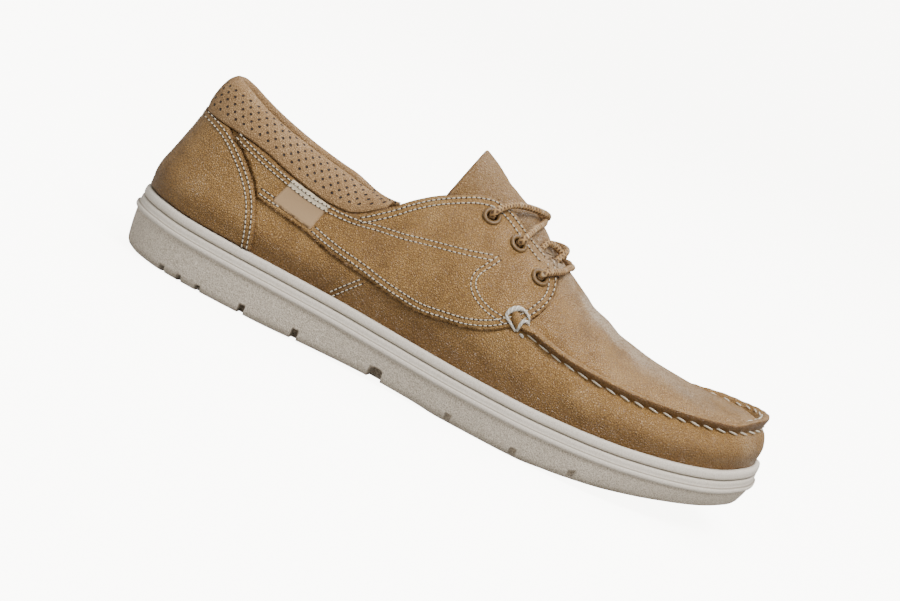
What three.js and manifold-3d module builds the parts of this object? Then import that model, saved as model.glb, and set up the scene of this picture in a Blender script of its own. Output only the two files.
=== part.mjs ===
// A low leather boat shoe for the right foot: cup sole, hollow moccasin upper, quarter and counter
// overlays, padded collar, moc seam, tongue, eyelets and lace. Millimetres, toe along +X, inner side of
// the foot along +Y, floor at Z = 0. The origin is the middle of the shoe's footprint, on the floor.
import * as THREE from "three";
import * as BufferGeometryUtils from "three/addons/utils/BufferGeometryUtils.js";
import Module from "manifold-3d";

const wasm = await Module();
wasm.setup();

// Driving sizes of the last and the sole
const length = 292;
const ballWidth = 107;
const rimHeight = 25;
const collarHeight = 87;
const instepHeight = 89.8;
const vampHeight = 54;

// Walls and clearances
const wall = 1.8;
const overlayWall = 1.4;
const gap = 0.3;
const rimInset = 3.7;
const cupDepth = 12;
const insoleThickness = 4;
const insoleBevel = 1.2;
const collarThickness = 9;
const collarFull = 14;
const collarSeat = 0.4;
const tongueThickness = 2.6;
const seamRidgeHeight = 3.6;
const seamRidgeWidth = 4.6;
const seamRidgeShoulder = 0.65;
const seamRidgeSeat = 0.4;
const seamRidgeStart = 0.6;

// Trim
const eyeletRadius = 4.2;
const eyeletHole = 2.2;
const eyeletBarrel = 2.6;
const eyeletHeight = 1.0;
const eyeletReach = 0.6;
const eyeletSides = 8;
const laceDiameter = 3;
const tieDiameter = 1.8;
const labelThickness = 0.8;
const counterGap = 0.6;

// Outline of the sole from above: reach to each side of the heel's centre line, in ball widths
const OUTLINE = [
  { at: 0.0, lateral: 0.0, medial: 0.0 },
  { at: 0.01, lateral: 0.112, medial: 0.112 },
  { at: 0.03, lateral: 0.192, medial: 0.192 },
  { at: 0.07, lateral: 0.271, medial: 0.271 },
  { at: 0.12, lateral: 0.322, medial: 0.318 },
  { at: 0.18, lateral: 0.35, medial: 0.341 },
  { at: 0.25, lateral: 0.364, medial: 0.341 },
  { at: 0.33, lateral: 0.376, medial: 0.324 },
  { at: 0.42, lateral: 0.4, medial: 0.318 },
  { at: 0.5, lateral: 0.43, medial: 0.338 },
  { at: 0.58, lateral: 0.467, medial: 0.388 },
  { at: 0.65, lateral: 0.489, medial: 0.439 },
  { at: 0.72, lateral: 0.489, medial: 0.483 },
  { at: 0.79, lateral: 0.463, medial: 0.505 },
  { at: 0.85, lateral: 0.411, medial: 0.505 },
  { at: 0.9, lateral: 0.341, medial: 0.481 },
  { at: 0.94, lateral: 0.262, medial: 0.435 },
  { at: 0.97, lateral: 0.168, medial: 0.364 },
  { at: 0.99, lateral: 0.061, medial: 0.276 },
  { at: 1.0, lateral: -0.112, medial: 0.112 },
];

// The sole's underside and its rim, in rim heights: heel and forefoot stand flat, the toe springs up
const SOLE_LINES = [
  { at: 0.0, under: 0.05, rim: 1.11 },
  { at: 0.05, under: 0.01, rim: 1.07 },
  { at: 0.08, under: 0.0, rim: 1.05 },
  { at: 0.12, under: 0.0, rim: 1.04 },
  { at: 0.24, under: 0.0, rim: 1.02 },
  { at: 0.34, under: 0.035, rim: 0.99 },
  { at: 0.42, under: 0.055, rim: 0.95 },
  { at: 0.49, under: 0.035, rim: 0.915 },
  { at: 0.54, under: 0.0, rim: 0.9 },
  { at: 0.6, under: 0.0, rim: 0.895 },
  { at: 0.665, under: 0.0, rim: 0.9 },
  { at: 0.71, under: 0.045, rim: 0.92 },
  { at: 0.78, under: 0.135, rim: 0.965 },
  { at: 0.85, under: 0.27, rim: 1.045 },
  { at: 0.9, under: 0.385, rim: 1.12 },
  { at: 0.95, under: 0.505, rim: 1.23 },
  { at: 0.98, under: 0.585, rim: 1.335 },
  { at: 1.0, under: 0.65, rim: 1.43 },
];

// Side of the sole, from the rim down: how far in from the outline and how far below the rim
const SOLE_SIDE = [
  { inset: 2.4, drop: 0.0 },
  { inset: 1.2, drop: 1.0 },
  { inset: 1.1, drop: 3.9 },
  { inset: 2.1, drop: 4.3 },
  { inset: 1.2, drop: 4.8 },
  { inset: 1.1, drop: 7.3 },
  { inset: 0.0, drop: 7.8 },
  { inset: 0.0, drop: 9.6 },
  { inset: 1.2, drop: 10.1 },
];
const sidewallFoot = { inset: 2.9, lift: 3.2 };
const sidewallEdge = { inset: 6.5, lift: 0 };

// Lug slots in the sole's lower edge, from heel to toe
const LUG_SLOTS = [
  { at: 0.082, width: 2.6, height: 2.0, round: false },
  { at: 0.113, width: 2.6, height: 2.0, round: false },
  { at: 0.146, width: 2.6, height: 2.0, round: false },
  { at: 0.218, width: 3.2, height: 4.6, round: false },
  { at: 0.303, width: 3.4, height: 5.4, round: false },
  { at: 0.432, width: 6.4, height: 6.0, round: true },
  { at: 0.552, width: 3.0, height: 4.2, round: false },
  { at: 0.658, width: 3.0, height: 4.2, round: false },
  { at: 0.747, width: 3.0, height: 6.4, round: false },
];
const slotReach = 13;
const slotBelow = 6;
const roundSlotSides = 12;

// Top line of the upper above each place of the outline, along collar seam and throat. Its own place
// along the shoe is topAt, its reach to each side is in ball widths
const TOP_PLAN = [
  { at: 0.0, topAt: 0.04, lateral: 0.0, medial: 0.0 },
  { at: 0.01, topAt: 0.047, lateral: 0.09, medial: 0.09 },
  { at: 0.03, topAt: 0.064, lateral: 0.152, medial: 0.15 },
  { at: 0.07, topAt: 0.1, lateral: 0.211, medial: 0.207 },
  { at: 0.12, topAt: 0.143, lateral: 0.248, medial: 0.242 },
  { at: 0.18, topAt: 0.196, lateral: 0.27, medial: 0.262 },
  { at: 0.25, topAt: 0.258, lateral: 0.283, medial: 0.27 },
  { at: 0.3, topAt: 0.303, lateral: 0.285, medial: 0.268 },
  { at: 0.34, topAt: 0.341, lateral: 0.271, medial: 0.252 },
  { at: 0.38, topAt: 0.38, lateral: 0.24, medial: 0.228 },
  { at: 0.43, topAt: 0.43, lateral: 0.19, medial: 0.19 },
  { at: 0.48, topAt: 0.48, lateral: 0.158, medial: 0.168 },
  { at: 0.53, topAt: 0.53, lateral: 0.14, medial: 0.158 },
  { at: 0.56, topAt: 0.56, lateral: 0.125, medial: 0.145 },
  { at: 0.58, topAt: 0.58, lateral: 0.1, medial: 0.122 },
  { at: 0.597, topAt: 0.597, lateral: 0.055, medial: 0.08 },
  { at: 0.61, topAt: 0.61, lateral: -0.018, medial: 0.018 },
];

// The vamp's crest, where the two sides meet, above each place of the outline
const CREST_PLAN = [
  { at: 0.61, topAt: 0.61, medial: 0.018 },
  { at: 0.66, topAt: 0.657, medial: 0.03 },
  { at: 0.75, topAt: 0.735, medial: 0.056 },
  { at: 0.82, topAt: 0.785, medial: 0.072 },
  { at: 0.9, topAt: 0.826, medial: 0.084 },
  { at: 0.95, topAt: 0.848, medial: 0.09 },
  { at: 1.0, topAt: 0.862, medial: 0.094 },
];
const throatStart = 0.354;
const throatEnd = 0.61;

// Height of that top line along the shoe: collar seam in collar heights, vamp crest in vamp heights. The
// throat rises from the seam's end and from the vamp's crest to the instep height
const COLLAR_SEAM = [
  { at: 0.04, height: 0.78 },
  { at: 0.08, height: 0.772 },
  { at: 0.12, height: 0.766 },
  { at: 0.155, height: 0.748 },
  { at: 0.19, height: 0.716 },
  { at: 0.235, height: 0.684 },
  { at: 0.27, height: 0.669 },
  { at: 0.295, height: 0.67 },
  { at: 0.31, height: 0.69 },
  { at: 0.335, height: 0.75 },
  { at: 0.354, height: 0.803 },
];
const THROAT_REAR = [
  { at: 0.354, rise: 0.0 },
  { at: 0.375, rise: 0.279 },
  { at: 0.4, rise: 0.541 },
  { at: 0.43, rise: 0.766 },
  { at: 0.455, rise: 0.929 },
  { at: 0.475, rise: 1.0 },
];
const THROAT_FRONT = [
  { at: 0.475, rise: 1.0 },
  { at: 0.49, rise: 0.972 },
  { at: 0.51, rise: 0.842 },
  { at: 0.53, rise: 0.63 },
  { at: 0.555, rise: 0.366 },
  { at: 0.58, rise: 0.136 },
  { at: 0.598, rise: 0.063 },
  { at: 0.61, rise: 0.0 },
];
const throatPeak = 0.475;
const VAMP_CREST = [
  { at: 0.61, height: 1.393 },
  { at: 0.622, height: 1.359 },
  { at: 0.655, height: 1.258 },
  { at: 0.69, height: 1.163 },
  { at: 0.723, height: 1.094 },
  { at: 0.757, height: 1.04 },
  { at: 0.79, height: 1.003 },
  { at: 0.825, height: 0.976 },
  { at: 0.862, height: 0.966 },
];

// Shape of the wall between rim and top line: three guides, as shares of the way in and up. Belly is
// how far the wall stands out at the low guide, in ball widths
const PROFILE = [
  { at: 0.0, lowIn: 0.25, lowUp: 0.25, shoulderIn: 0.5, shoulderUp: 0.5, crownIn: 0.77, crownUp: 0.77, belly: 0.018 },
  { at: 0.12, lowIn: 0.25, lowUp: 0.26, shoulderIn: 0.5, shoulderUp: 0.52, crownIn: 0.77, crownUp: 0.78, belly: 0.022 },
  { at: 0.34, lowIn: 0.2, lowUp: 0.28, shoulderIn: 0.42, shoulderUp: 0.54, crownIn: 0.72, crownUp: 0.79, belly: 0.03 },
  { at: 0.48, lowIn: 0.05, lowUp: 0.26, shoulderIn: 0.15, shoulderUp: 0.52, crownIn: 0.5, crownUp: 0.8, belly: 0.026 },
  { at: 0.61, lowIn: 0.01, lowUp: 0.25, shoulderIn: 0.12, shoulderUp: 0.515, crownIn: 0.485, crownUp: 0.85, belly: 0.006 },
  { at: 0.75, lowIn: 0.0, lowUp: 0.29, shoulderIn: 0.14, shoulderUp: 0.59, crownIn: 0.547, crownUp: 0.884, belly: 0.005 },
  { at: 0.9, lowIn: -0.005, lowUp: 0.35, shoulderIn: 0.16, shoulderUp: 0.72, crownIn: 0.5, crownUp: 0.92, belly: 0.003 },
  { at: 1.0, lowIn: -0.005, lowUp: 0.44, shoulderIn: 0.125, shoulderUp: 0.88, crownIn: 0.5, crownUp: 1.0, belly: 0.002 },
];

// Top of the padded collar, above the same places of the outline, in ball widths and collar heights
const COLLAR_TOP = [
  { at: 0.0, topAt: 0.054, lateral: 0.0, medial: 0.0, outer: 1.0, inner: 1.0 },
  { at: 0.01, topAt: 0.06, lateral: 0.074, medial: 0.072, outer: 0.997, inner: 0.995 },
  { at: 0.03, topAt: 0.075, lateral: 0.122, medial: 0.118, outer: 0.987, inner: 0.978 },
  { at: 0.07, topAt: 0.108, lateral: 0.164, medial: 0.158, outer: 0.952, inner: 0.932 },
  { at: 0.12, topAt: 0.15, lateral: 0.19, medial: 0.181, outer: 0.912, inner: 0.884 },
  { at: 0.18, topAt: 0.2, lateral: 0.205, medial: 0.193, outer: 0.876, inner: 0.842 },
  { at: 0.25, topAt: 0.262, lateral: 0.216, medial: 0.202, outer: 0.843, inner: 0.806 },
  { at: 0.3, topAt: 0.307, lateral: 0.226, medial: 0.21, outer: 0.818, inner: 0.792 },
  { at: 0.35, topAt: 0.353, lateral: 0.243, medial: 0.226, outer: 0.808, inner: 0.808 },
];
const collarEnd = 0.343;

// Section of the padded collar from its seam: share of its height, and way out in collar thicknesses
const COLLAR_SECTION = [
  { up: 0.0, out: 0.17 },
  { up: 0.3, out: 0.27 },
  { up: 0.68, out: 0.22 },
  { up: 0.92, out: 0.0 },
  { up: 1.0, out: -0.27 },
  { up: 0.88, out: -0.56 },
  { up: 0.5, out: -0.72 },
  { up: 0.0, out: -0.6 },
];

// Edges of the overlays seen from the side: share of the length, height in collar heights
const COUNTER_EDGE = [
  { at: 0.0, height: 0.9 },
  { at: 0.06, height: 0.86 },
  { at: 0.1, height: 0.74 },
  { at: 0.12, height: 0.705 },
  { at: 0.137, height: 0.658 },
  { at: 0.154, height: 0.602 },
  { at: 0.17, height: 0.537 },
  { at: 0.182, height: 0.463 },
  { at: 0.19, height: 0.4 },
  { at: 0.197, height: 0.31 },
  { at: 0.2, height: 0.2 },
];
const QUARTER_EDGE = [
  { at: 0.17, height: 0.54 },
  { at: 0.219, height: 0.517 },
  { at: 0.253, height: 0.5 },
  { at: 0.286, height: 0.474 },
  { at: 0.32, height: 0.455 },
  { at: 0.353, height: 0.443 },
  { at: 0.386, height: 0.425 },
  { at: 0.42, height: 0.414 },
  { at: 0.453, height: 0.41 },
  { at: 0.486, height: 0.426 },
  { at: 0.52, height: 0.447 },
  { at: 0.553, height: 0.49 },
  { at: 0.577, height: 0.541 },
  { at: 0.592, height: 0.58 },
  { at: 0.603, height: 0.632 },
  { at: 0.612, height: 0.703 },
  { at: 0.612, height: 0.761 },
  { at: 0.605, height: 0.825 },
  { at: 0.588, height: 0.9 },
  { at: 0.588, height: 1.2 },
];
const overlayFoot = 0.5;
const footSteps = 10;
const behindHeel = 20;
const counterReach = 0.27;
const quarterReach = { from: 0.04, to: 0.7 };
const labelReach = 0.08;
const LABEL_EDGE = [
  { at: 0.206, height: 0.695 },
  { at: 0.272, height: 0.66 },
  { at: 0.261, height: 0.515 },
  { at: 0.191, height: 0.55 },
];

// Eyelet centres, seen from the side: share of the length, and how far below the throat's edge in instep
// heights
const EYELETS = [
  { name: "1", at: 0.483, below: 0.083 },
  { name: "2", at: 0.533, below: 0.08 },
  { name: "3", at: 0.582, below: 0.095 },
];

// Tongue: its crest above the upper's top line in instep heights, half width and centre in ball widths, fall
// of its edges in instep heights, rake of its edges toward the heel as a share of the length
const TONGUE = [
  { at: 0.43, above: 0.2265, halfWidth: 0.178, centre: 0.0, fall: 0.37, rake: -0.029 },
  { at: 0.456, above: 0.148, halfWidth: 0.183, centre: 0.003, fall: 0.37, rake: -0.02 },
  { at: 0.487, above: 0.0725, halfWidth: 0.186, centre: 0.006, fall: 0.36, rake: -0.007 },
  { at: 0.52, above: 0.0484, halfWidth: 0.183, centre: 0.009, fall: 0.34, rake: 0 },
  { at: 0.566, above: 0.0345, halfWidth: 0.178, centre: 0.012, fall: 0.3, rake: 0 },
  { at: 0.6, above: -0.025, halfWidth: 0.175, centre: 0.016, fall: 0.24, rake: 0 },
  { at: 0.64, above: -0.045, halfWidth: 0.165, centre: 0.02, fall: 0.17, rake: 0 },
];
const tongueSpread = 1.25;
const tongueSpans = 11;
const tongueArches = 8;

// Lace, seen from the side: where it passes, in shares of the length. The bar's points lie below the top
// line and the crossings stand above the tongue's crest, in instep heights
const LACE_BAR = { corner: { at: 0.602, below: 0.042 }, vamp: { at: 0.612, below: 0.0105 }, crest: 0.618 };
const LACE_FRONT = { front: 0.583, rear: 0.547, crest: { at: 0.6, above: 0.086 } };
const LACE_REAR = { front: 0.54, rear: 0.5, crest: { at: 0.552, above: 0.078 } };
const laceTuck = 0.36;
const laceStack = 2.4;
const laceTilt = 0.8;
const crestCentre = 0.018;
const cordSides = 6;
const cordSteps = 9;

// Cord tie round the moc seam's rear end: share of the length, height in vamp heights, and its lift from the
// wall in cord diameters
const TIE = [
  { at: 0.586, height: 0.857, lift: 1.78 },
  { at: 0.567, height: 0.918, lift: 1.83 },
  { at: 0.566, height: 0.999, lift: 1.78 },
  { at: 0.577, height: 1.044, lift: 1.78 },
  { at: 0.594, height: 0.983, lift: 1.89 },
];

// Where the grid's stations lie along the outline: steps up to each share of the length
const STATION_STEPS = [
  { to: 0.05, steps: 5 },
  { to: 0.27, steps: 6 },
  { to: 0.342, steps: 3 },
  { to: 0.55, steps: 8 },
  { to: throatEnd, steps: 5 },
  { to: 0.86, steps: 6 },
  { to: 1.0, steps: 7 },
];

// Interpolation: a share of the length becomes an angle, so that heel and toe round off evenly
const angleAt = (at) => Math.acos(1 - 2 * at);
const shareOf = (angle) => (1 - Math.cos(angle)) / 2;

// Smooth curve through one column of a table that never overshoots its rows
function column(table, name, key = "at") {
  const xs = table.map((row) => angleAt(row[key]));
  const ys = table.map((row) => row[name]);
  const slopes = xs.slice(1).map((x, i) => (ys[i + 1] - ys[i]) / (x - xs[i]));
  const tangents = xs.map((_, i) => {
    if (i === 0) return slopes[0];
    if (i === slopes.length) return slopes[i - 1];
    const before = slopes[i - 1];
    const after = slopes[i];
    if (before * after <= 0) return 0;
    const left = xs[i] - xs[i - 1];
    const right = xs[i + 1] - xs[i];
    const first = 2 * right + left;
    const second = right + 2 * left;
    return (first + second) / (first / before + second / after);
  });
  return (at) => {
    const x = Math.min(Math.max(angleAt(at), xs[0]), xs[xs.length - 1]);
    let i = 0;
    while (i < xs.length - 2 && x > xs[i + 1]) i += 1;
    const span = xs[i + 1] - xs[i];
    const t = (x - xs[i]) / span;
    const rise = (1 - t) * (1 - t);
    return (
      ys[i] * (1 + 2 * t) * rise +
      tangents[i] * span * t * rise +
      ys[i + 1] * t * t * (3 - 2 * t) +
      tangents[i + 1] * span * t * t * (t - 1)
    );
  };
}

const outline = {
  lateral: column(OUTLINE, "lateral"),
  medial: column(OUTLINE, "medial"),
};
const openTop = {
  at: column(TOP_PLAN, "topAt"),
  lateral: column(TOP_PLAN, "lateral"),
  medial: column(TOP_PLAN, "medial"),
};
const crestTop = {
  at: column(CREST_PLAN, "topAt"),
  medial: column(CREST_PLAN, "medial"),
};
const topAt = (at) => (at < throatEnd ? openTop.at(at) : crestTop.at(at));
const topReach = (at, side) => {
  if (at < throatEnd) return openTop[side](at) * (side === "lateral" ? -1 : 1);
  return crestTop.medial(at);
};
const collarTopAt = column(COLLAR_TOP, "topAt");
const collarReach = {
  lateral: column(COLLAR_TOP, "lateral"),
  medial: column(COLLAR_TOP, "medial"),
};
const collarLine = {
  lateral: column(COLLAR_TOP, "outer"),
  medial: column(COLLAR_TOP, "inner"),
};
const underLine = column(SOLE_LINES, "under");
const rimLine = column(SOLE_LINES, "rim");
const seamLine = column(COLLAR_SEAM, "height");
const throatRear = column(THROAT_REAR, "rise");
const throatFront = column(THROAT_FRONT, "rise");
const crestLine = column(VAMP_CREST, "height");
const profile = Object.fromEntries(
  Object.keys(PROFILE[0])
    .filter((name) => name !== "at")
    .map((name) => [name, column(PROFILE, name)]),
);

const under = (at) => underLine(at) * rimHeight;
const rim = (at) => rimLine(at) * rimHeight;

function topHeight(at) {
  if (at < throatStart) return seamLine(at) * collarHeight;
  if (at >= throatEnd) return crestLine(at) * vampHeight;
  if (at < throatPeak) return THREE.MathUtils.lerp(seamLine(throatStart) * collarHeight, instepHeight, throatRear(at));
  return THREE.MathUtils.lerp(crestLine(throatEnd) * vampHeight, instepHeight, throatFront(at));
}

// The footprint's middle is the origin
const reaches = (side) => Math.max(...OUTLINE.map((row) => row[side])) * ballWidth;
const centreX = length / 2;
const centreY = (reaches("medial") - reaches("lateral")) / 2;
const place = (x, y, z) => new THREE.Vector3(x - centreX, y - centreY, z);

// Stations along one side, from the heel's back to the toe's tip
function stationShares() {
  const shares = [0];
  let from = 0;
  for (const { to, steps } of STATION_STEPS) {
    for (let i = 1; i <= steps; i += 1) {
      shares.push(shareOf(THREE.MathUtils.lerp(angleAt(from), angleAt(to), i / steps)));
    }
    from = to;
  }
  return shares;
}
const STATIONS = stationShares();
const tipIndex = STATIONS.length - 1;

// The outline as one closed loop: heel, lateral side, toe, medial side
function outlineLoop() {
  const loop = STATIONS.map((at) => ({ at, side: "lateral" }));
  for (let i = tipIndex - 1; i > 0; i -= 1) loop.push({ at: STATIONS[i], side: "medial" });
  for (const spot of loop) {
    spot.sign = spot.side === "lateral" ? -1 : 1;
    spot.flat = flatPoint(spot.at, spot.side);
  }
  loop.forEach((spot, i) => {
    const ahead = loop[(i + 1) % loop.length].flat;
    const behind = loop[(i + loop.length - 1) % loop.length].flat;
    const along = ahead.clone().sub(behind).normalize();
    spot.out = new THREE.Vector2(along.y, -along.x);
  });
  return loop;
}

function flatPoint(at, side) {
  const sign = side === "lateral" ? -1 : 1;
  return new THREE.Vector2(at * length, sign * outline[side](at) * ballWidth);
}

const LOOP = outlineLoop();
const inset = (spot, distance) => spot.flat.clone().addScaledVector(spot.out, -distance);

// Guide points of the wall above one place of the outline, from the hem in the cup to the top line
function guides(spot) {
  const { at, side } = spot;
  const foot = inset(spot, rimInset + gap);
  const top = new THREE.Vector2(topAt(at) * length, topReach(at, side) * ballWidth);
  const footZ = rim(at);
  const topZ = topHeight(topAt(at));
  const belly = profile.belly(at) * ballWidth;
  const guide = (way, up, out) => {
    const flat = foot.clone().lerp(top, way).addScaledVector(spot.out, out);
    return place(flat.x, flat.y, THREE.MathUtils.lerp(footZ, topZ, up));
  };
  return [
    guide(0, 0, 0),
    guide(profile.lowIn(at), profile.lowUp(at), belly),
    guide(profile.shoulderIn(at), profile.shoulderUp(at), belly / 2),
    guide(profile.crownIn(at), profile.crownUp(at), 0),
    guide(1, 1, 0),
  ];
}

// Rows of the upper's grid above its hem, counted in guide points: rim, low guide, shoulder, crown and
// top line, with halves between
const GRID_ROWS = [0, 1, 1.5, 2, 2.5, 3, 3.5, 4];
const shoulderRow = 1 + GRID_ROWS.indexOf(2);

function wallRows(spot) {
  const points = guides(spot);
  const curve = new THREE.CatmullRomCurve3(points, false, "centripetal");
  const hem = points[0].clone();
  hem.z -= cupDepth - gap;
  const last = points.length - 1;
  return [hem, ...GRID_ROWS.map((row) => curve.getPoint(row / last))];
}

const WALL = LOOP.map(wallRows);
const rowCount = WALL[0].length;

// Outward normals of the grid, shared where the two sides meet on the vamp's crest
function gridNormals() {
  const key = (p) => `${p.x.toFixed(3)},${p.y.toFixed(3)},${p.z.toFixed(3)}`;
  const sums = new Map();
  const add = (p, n) => {
    const k = key(p);
    if (!sums.has(k)) sums.set(k, new THREE.Vector3());
    sums.get(k).add(n);
  };
  for (let i = 0; i < WALL.length; i += 1) {
    const here = WALL[i];
    const next = WALL[(i + 1) % WALL.length];
    for (let j = 0; j < rowCount - 1; j += 1) {
      const [a, b, c, d] = [here[j], next[j], next[j + 1], here[j + 1]];
      const normal = c.clone().sub(a).cross(d.clone().sub(b));
      for (const corner of [a, b, c, d]) add(corner, normal);
    }
  }
  return WALL.map((rows) => rows.map((p) => sums.get(key(p)).clone().normalize()));
}
const NORMALS = gridNormals();
const raised = (i, j, offset) => WALL[i][j].clone().addScaledVector(NORMALS[i][j], offset);

// Meshes and solids
function meshOf(points, faces) {
  const geometry = new THREE.BufferGeometry();
  geometry.setAttribute("position", new THREE.Float32BufferAttribute(points.flatMap((p) => [p.x, p.y, p.z]), 3));
  geometry.setIndex(faces.flat());
  return BufferGeometryUtils.mergeVertices(geometry, 1e-3);
}

function solidOf(geometry) {
  const bare = geometry.clone();
  bare.deleteAttribute("normal");
  bare.deleteAttribute("uv");
  const merged = BufferGeometryUtils.mergeVertices(bare, 1e-4);
  return new wasm.Manifold(
    new wasm.Mesh({
      numProp: 3,
      vertProperties: new Float32Array(merged.attributes.position.array),
      triVerts: new Uint32Array(merged.index.array),
    }),
  );
}

function geometryOf(solid) {
  const mesh = solid.getMesh();
  const geometry = new THREE.BufferGeometry();
  geometry.setAttribute("position", new THREE.Float32BufferAttribute(mesh.vertProperties, 3));
  geometry.setIndex(new THREE.Uint32BufferAttribute(mesh.triVerts, 1));
  return geometry;
}

// Two triangles for each cell of a grid of point indices; closed says whether the last row joins the first
function gridFaces(rows, closed) {
  const faces = [];
  const last = closed ? rows.length : rows.length - 1;
  for (let i = 0; i < last; i += 1) {
    const here = rows[i];
    const next = rows[(i + 1) % rows.length];
    for (let j = 0; j < here.length - 1; j += 1) {
      faces.push([here[j], next[j], next[j + 1]], [here[j], next[j + 1], here[j + 1]]);
    }
  }
  return dropFlat(faces);
}

const dropFlat = (faces) => faces.filter(([a, b, c]) => a !== b && b !== c && a !== c);

// Sections of one closed ring each, out along one side and back along the other, joined into a solid
function loft(rings) {
  const points = rings.flat();
  const size = rings[0].length;
  const rows = rings.map((_, i) => [...Array(size + 1).keys()].map((j) => i * size + (j % size)));
  const faces = gridFaces(rows, false);
  const end = (rings.length - 1) * size;
  for (let j = 0; j < size / 2 - 1; j += 1) {
    const [a, b, c, d] = [j, j + 1, size - 2 - j, size - 1 - j];
    faces.push([a, b, c], [a, c, d], [end + a, end + c, end + b], [end + a, end + d, end + c]);
  }
  return meshOf(points, faces);
}

// A skin over part of the upper's grid, between two offsets from its outer face. A closed skin goes all
// round; on the crest its two sides meet, so it has no top edge there
function skin(indices, firstRow, inner, outer, closed) {
  const points = [];
  const gridOf = (offset) => indices.map((i) =>
    WALL[i].slice(firstRow).map((_, j) => points.push(raised(i, firstRow + j, offset)) - 1),
  );
  const outside = gridOf(outer);
  const inside = gridOf(inner);
  const faces = [...gridFaces(outside, closed), ...gridFaces(inside, closed).map(([a, b, c]) => [a, c, b])];
  const end = indices.length - 1;
  const top = rowCount - 1 - firstRow;
  for (let k = 0; k <= (closed ? end : end - 1); k += 1) {
    const next = (k + 1) % indices.length;
    const [a, b, c, d] = [outside[k], outside[next], inside[next], inside[k]];
    faces.push([a[0], d[0], c[0]], [a[0], c[0], b[0]]);
    const open = isOpen(indices[k]) || isOpen(indices[next]);
    if (open || !closed) faces.push([a[top], c[top], d[top]], [a[top], b[top], c[top]]);
  }
  for (let j = 0; j < top && !closed; j += 1) {
    faces.push([outside[0][j], outside[0][j + 1], inside[0][j + 1]], [outside[0][j], inside[0][j + 1], inside[0][j]]);
    const [a, b, c, d] = [outside[end][j + 1], outside[end][j], inside[end][j], inside[end][j + 1]];
    faces.push([a, b, c], [a, c, d]);
  }
  return solidOf(meshOf(points, faces));
}

const isOpen = (i) => LOOP[i].at < throatEnd - 1e-6;

// Faces across the inside of a ring that follows the outline, from its lateral to its medial stations
function across(first, up) {
  const faces = [];
  const size = LOOP.length;
  for (let i = 0; i < tipIndex; i += 1) {
    const [a, b, c, d] = [i, i + 1, size - i - 1, (size - i) % size].map((k) => first + k);
    faces.push(...(up ? [[a, b, c], [a, c, d]] : [[a, c, b], [a, d, c]]));
  }
  return dropFlat(faces);
}

// Rings that follow the outline, joined from an upper face over the outside to a lower face
function ringSolid(rings) {
  const size = LOOP.length;
  const columns = LOOP.map((_, i) => rings.map((_ring, r) => r * size + i));
  const sides = gridFaces(columns, true).map(([a, b, c]) => [a, c, b]);
  const last = (rings.length - 1) * size;
  return solidOf(meshOf(rings.flat(), [...sides, ...across(0, true), ...across(last, false)]));
}

// A prism of a side-view outline, from one sideways reach to another
function sidePrism(edge, fromY, toY) {
  const shape = new THREE.Shape(edge.map(({ x, z }) => new THREE.Vector2(x, z)));
  const prism = new THREE.ExtrudeGeometry(shape, { depth: toY - fromY, bevelEnabled: false });
  prism.rotateX(Math.PI / 2);
  prism.translate(-centreX, toY - centreY, 0);
  return solidOf(prism);
}

const edgeOf = (table) => table.map(({ at, height }) => ({ x: at * length, z: height * collarHeight }));

// The hollow upper: one wall from the hem in the cup to collar seam, throat and vamp
function upperGeometry() {
  const all = LOOP.map((_, i) => i);
  let solid = skin(all, 0, -wall, 0, true);
  for (const { drill } of eyeletSpots) solid = solid.subtract(drill);
  return geometryOf(solid);
}

// Eyelets stand on the quarters; each has its own frame on the wall and a drill for the holes
function surfaceAt(side, at, z) {
  const x = at * length - centreX;
  let best = null;
  LOOP.forEach((spot, i) => {
    const next = (i + 1) % LOOP.length;
    if (spot.side !== side && LOOP[next].side !== side) return;
    for (let j = 1; j < rowCount - 1; j += 1) {
      const cells = [
        [[i, j], [next, j], [next, j + 1]],
        [[i, j], [next, j + 1], [i, j + 1]],
      ];
      for (const cell of cells) {
        const found = inCell(cell, x, z);
        if (found) best = found;
      }
    }
  });
  return best;
}

function inCell(cell, x, z) {
  const [a, b, c] = cell.map(([i, j]) => WALL[i][j]);
  const area = (b.x - a.x) * (c.z - a.z) - (c.x - a.x) * (b.z - a.z);
  if (Math.abs(area) < 1e-9) return null;
  const v = ((x - a.x) * (c.z - a.z) - (c.x - a.x) * (z - a.z)) / area;
  const w = ((b.x - a.x) * (z - a.z) - (x - a.x) * (b.z - a.z)) / area;
  const u = 1 - v - w;
  if (Math.min(u, v, w) < -1e-6) return null;
  const blend = (grid) => {
    const [p, q, r] = cell.map(([i, j]) => grid[i][j]);
    return p.clone().multiplyScalar(u).addScaledVector(q, v).addScaledVector(r, w);
  };
  const flat = b.clone().sub(a).cross(c.clone().sub(a)).normalize();
  return { point: blend(WALL), normal: blend(NORMALS).normalize(), flat };
}

const overlayTop = gap + overlayWall;
const drillLength = 14;
const drillSides = 8;
const turnTo = (normal) => new THREE.Quaternion().setFromUnitVectors(new THREE.Vector3(0, 1, 0), normal);

function eyeletList() {
  return ["lateral", "medial"].flatMap((side) =>
    EYELETS.map(({ name, at, below }) => {
      const { point, normal } = surfaceAt(side, at, topHeight(at) - below * instepHeight);
      const drill = new THREE.CylinderGeometry(eyeletBarrel + gap, eyeletBarrel + gap, drillLength, drillSides);
      drill.applyQuaternion(turnTo(normal));
      drill.translate(point.x, point.y, point.z);
      return { name: `eyelet_${side}_${name}`, side, row: name, point, normal, drill: solidOf(drill) };
    }),
  );
}
const eyeletSpots = eyeletList();

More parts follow.
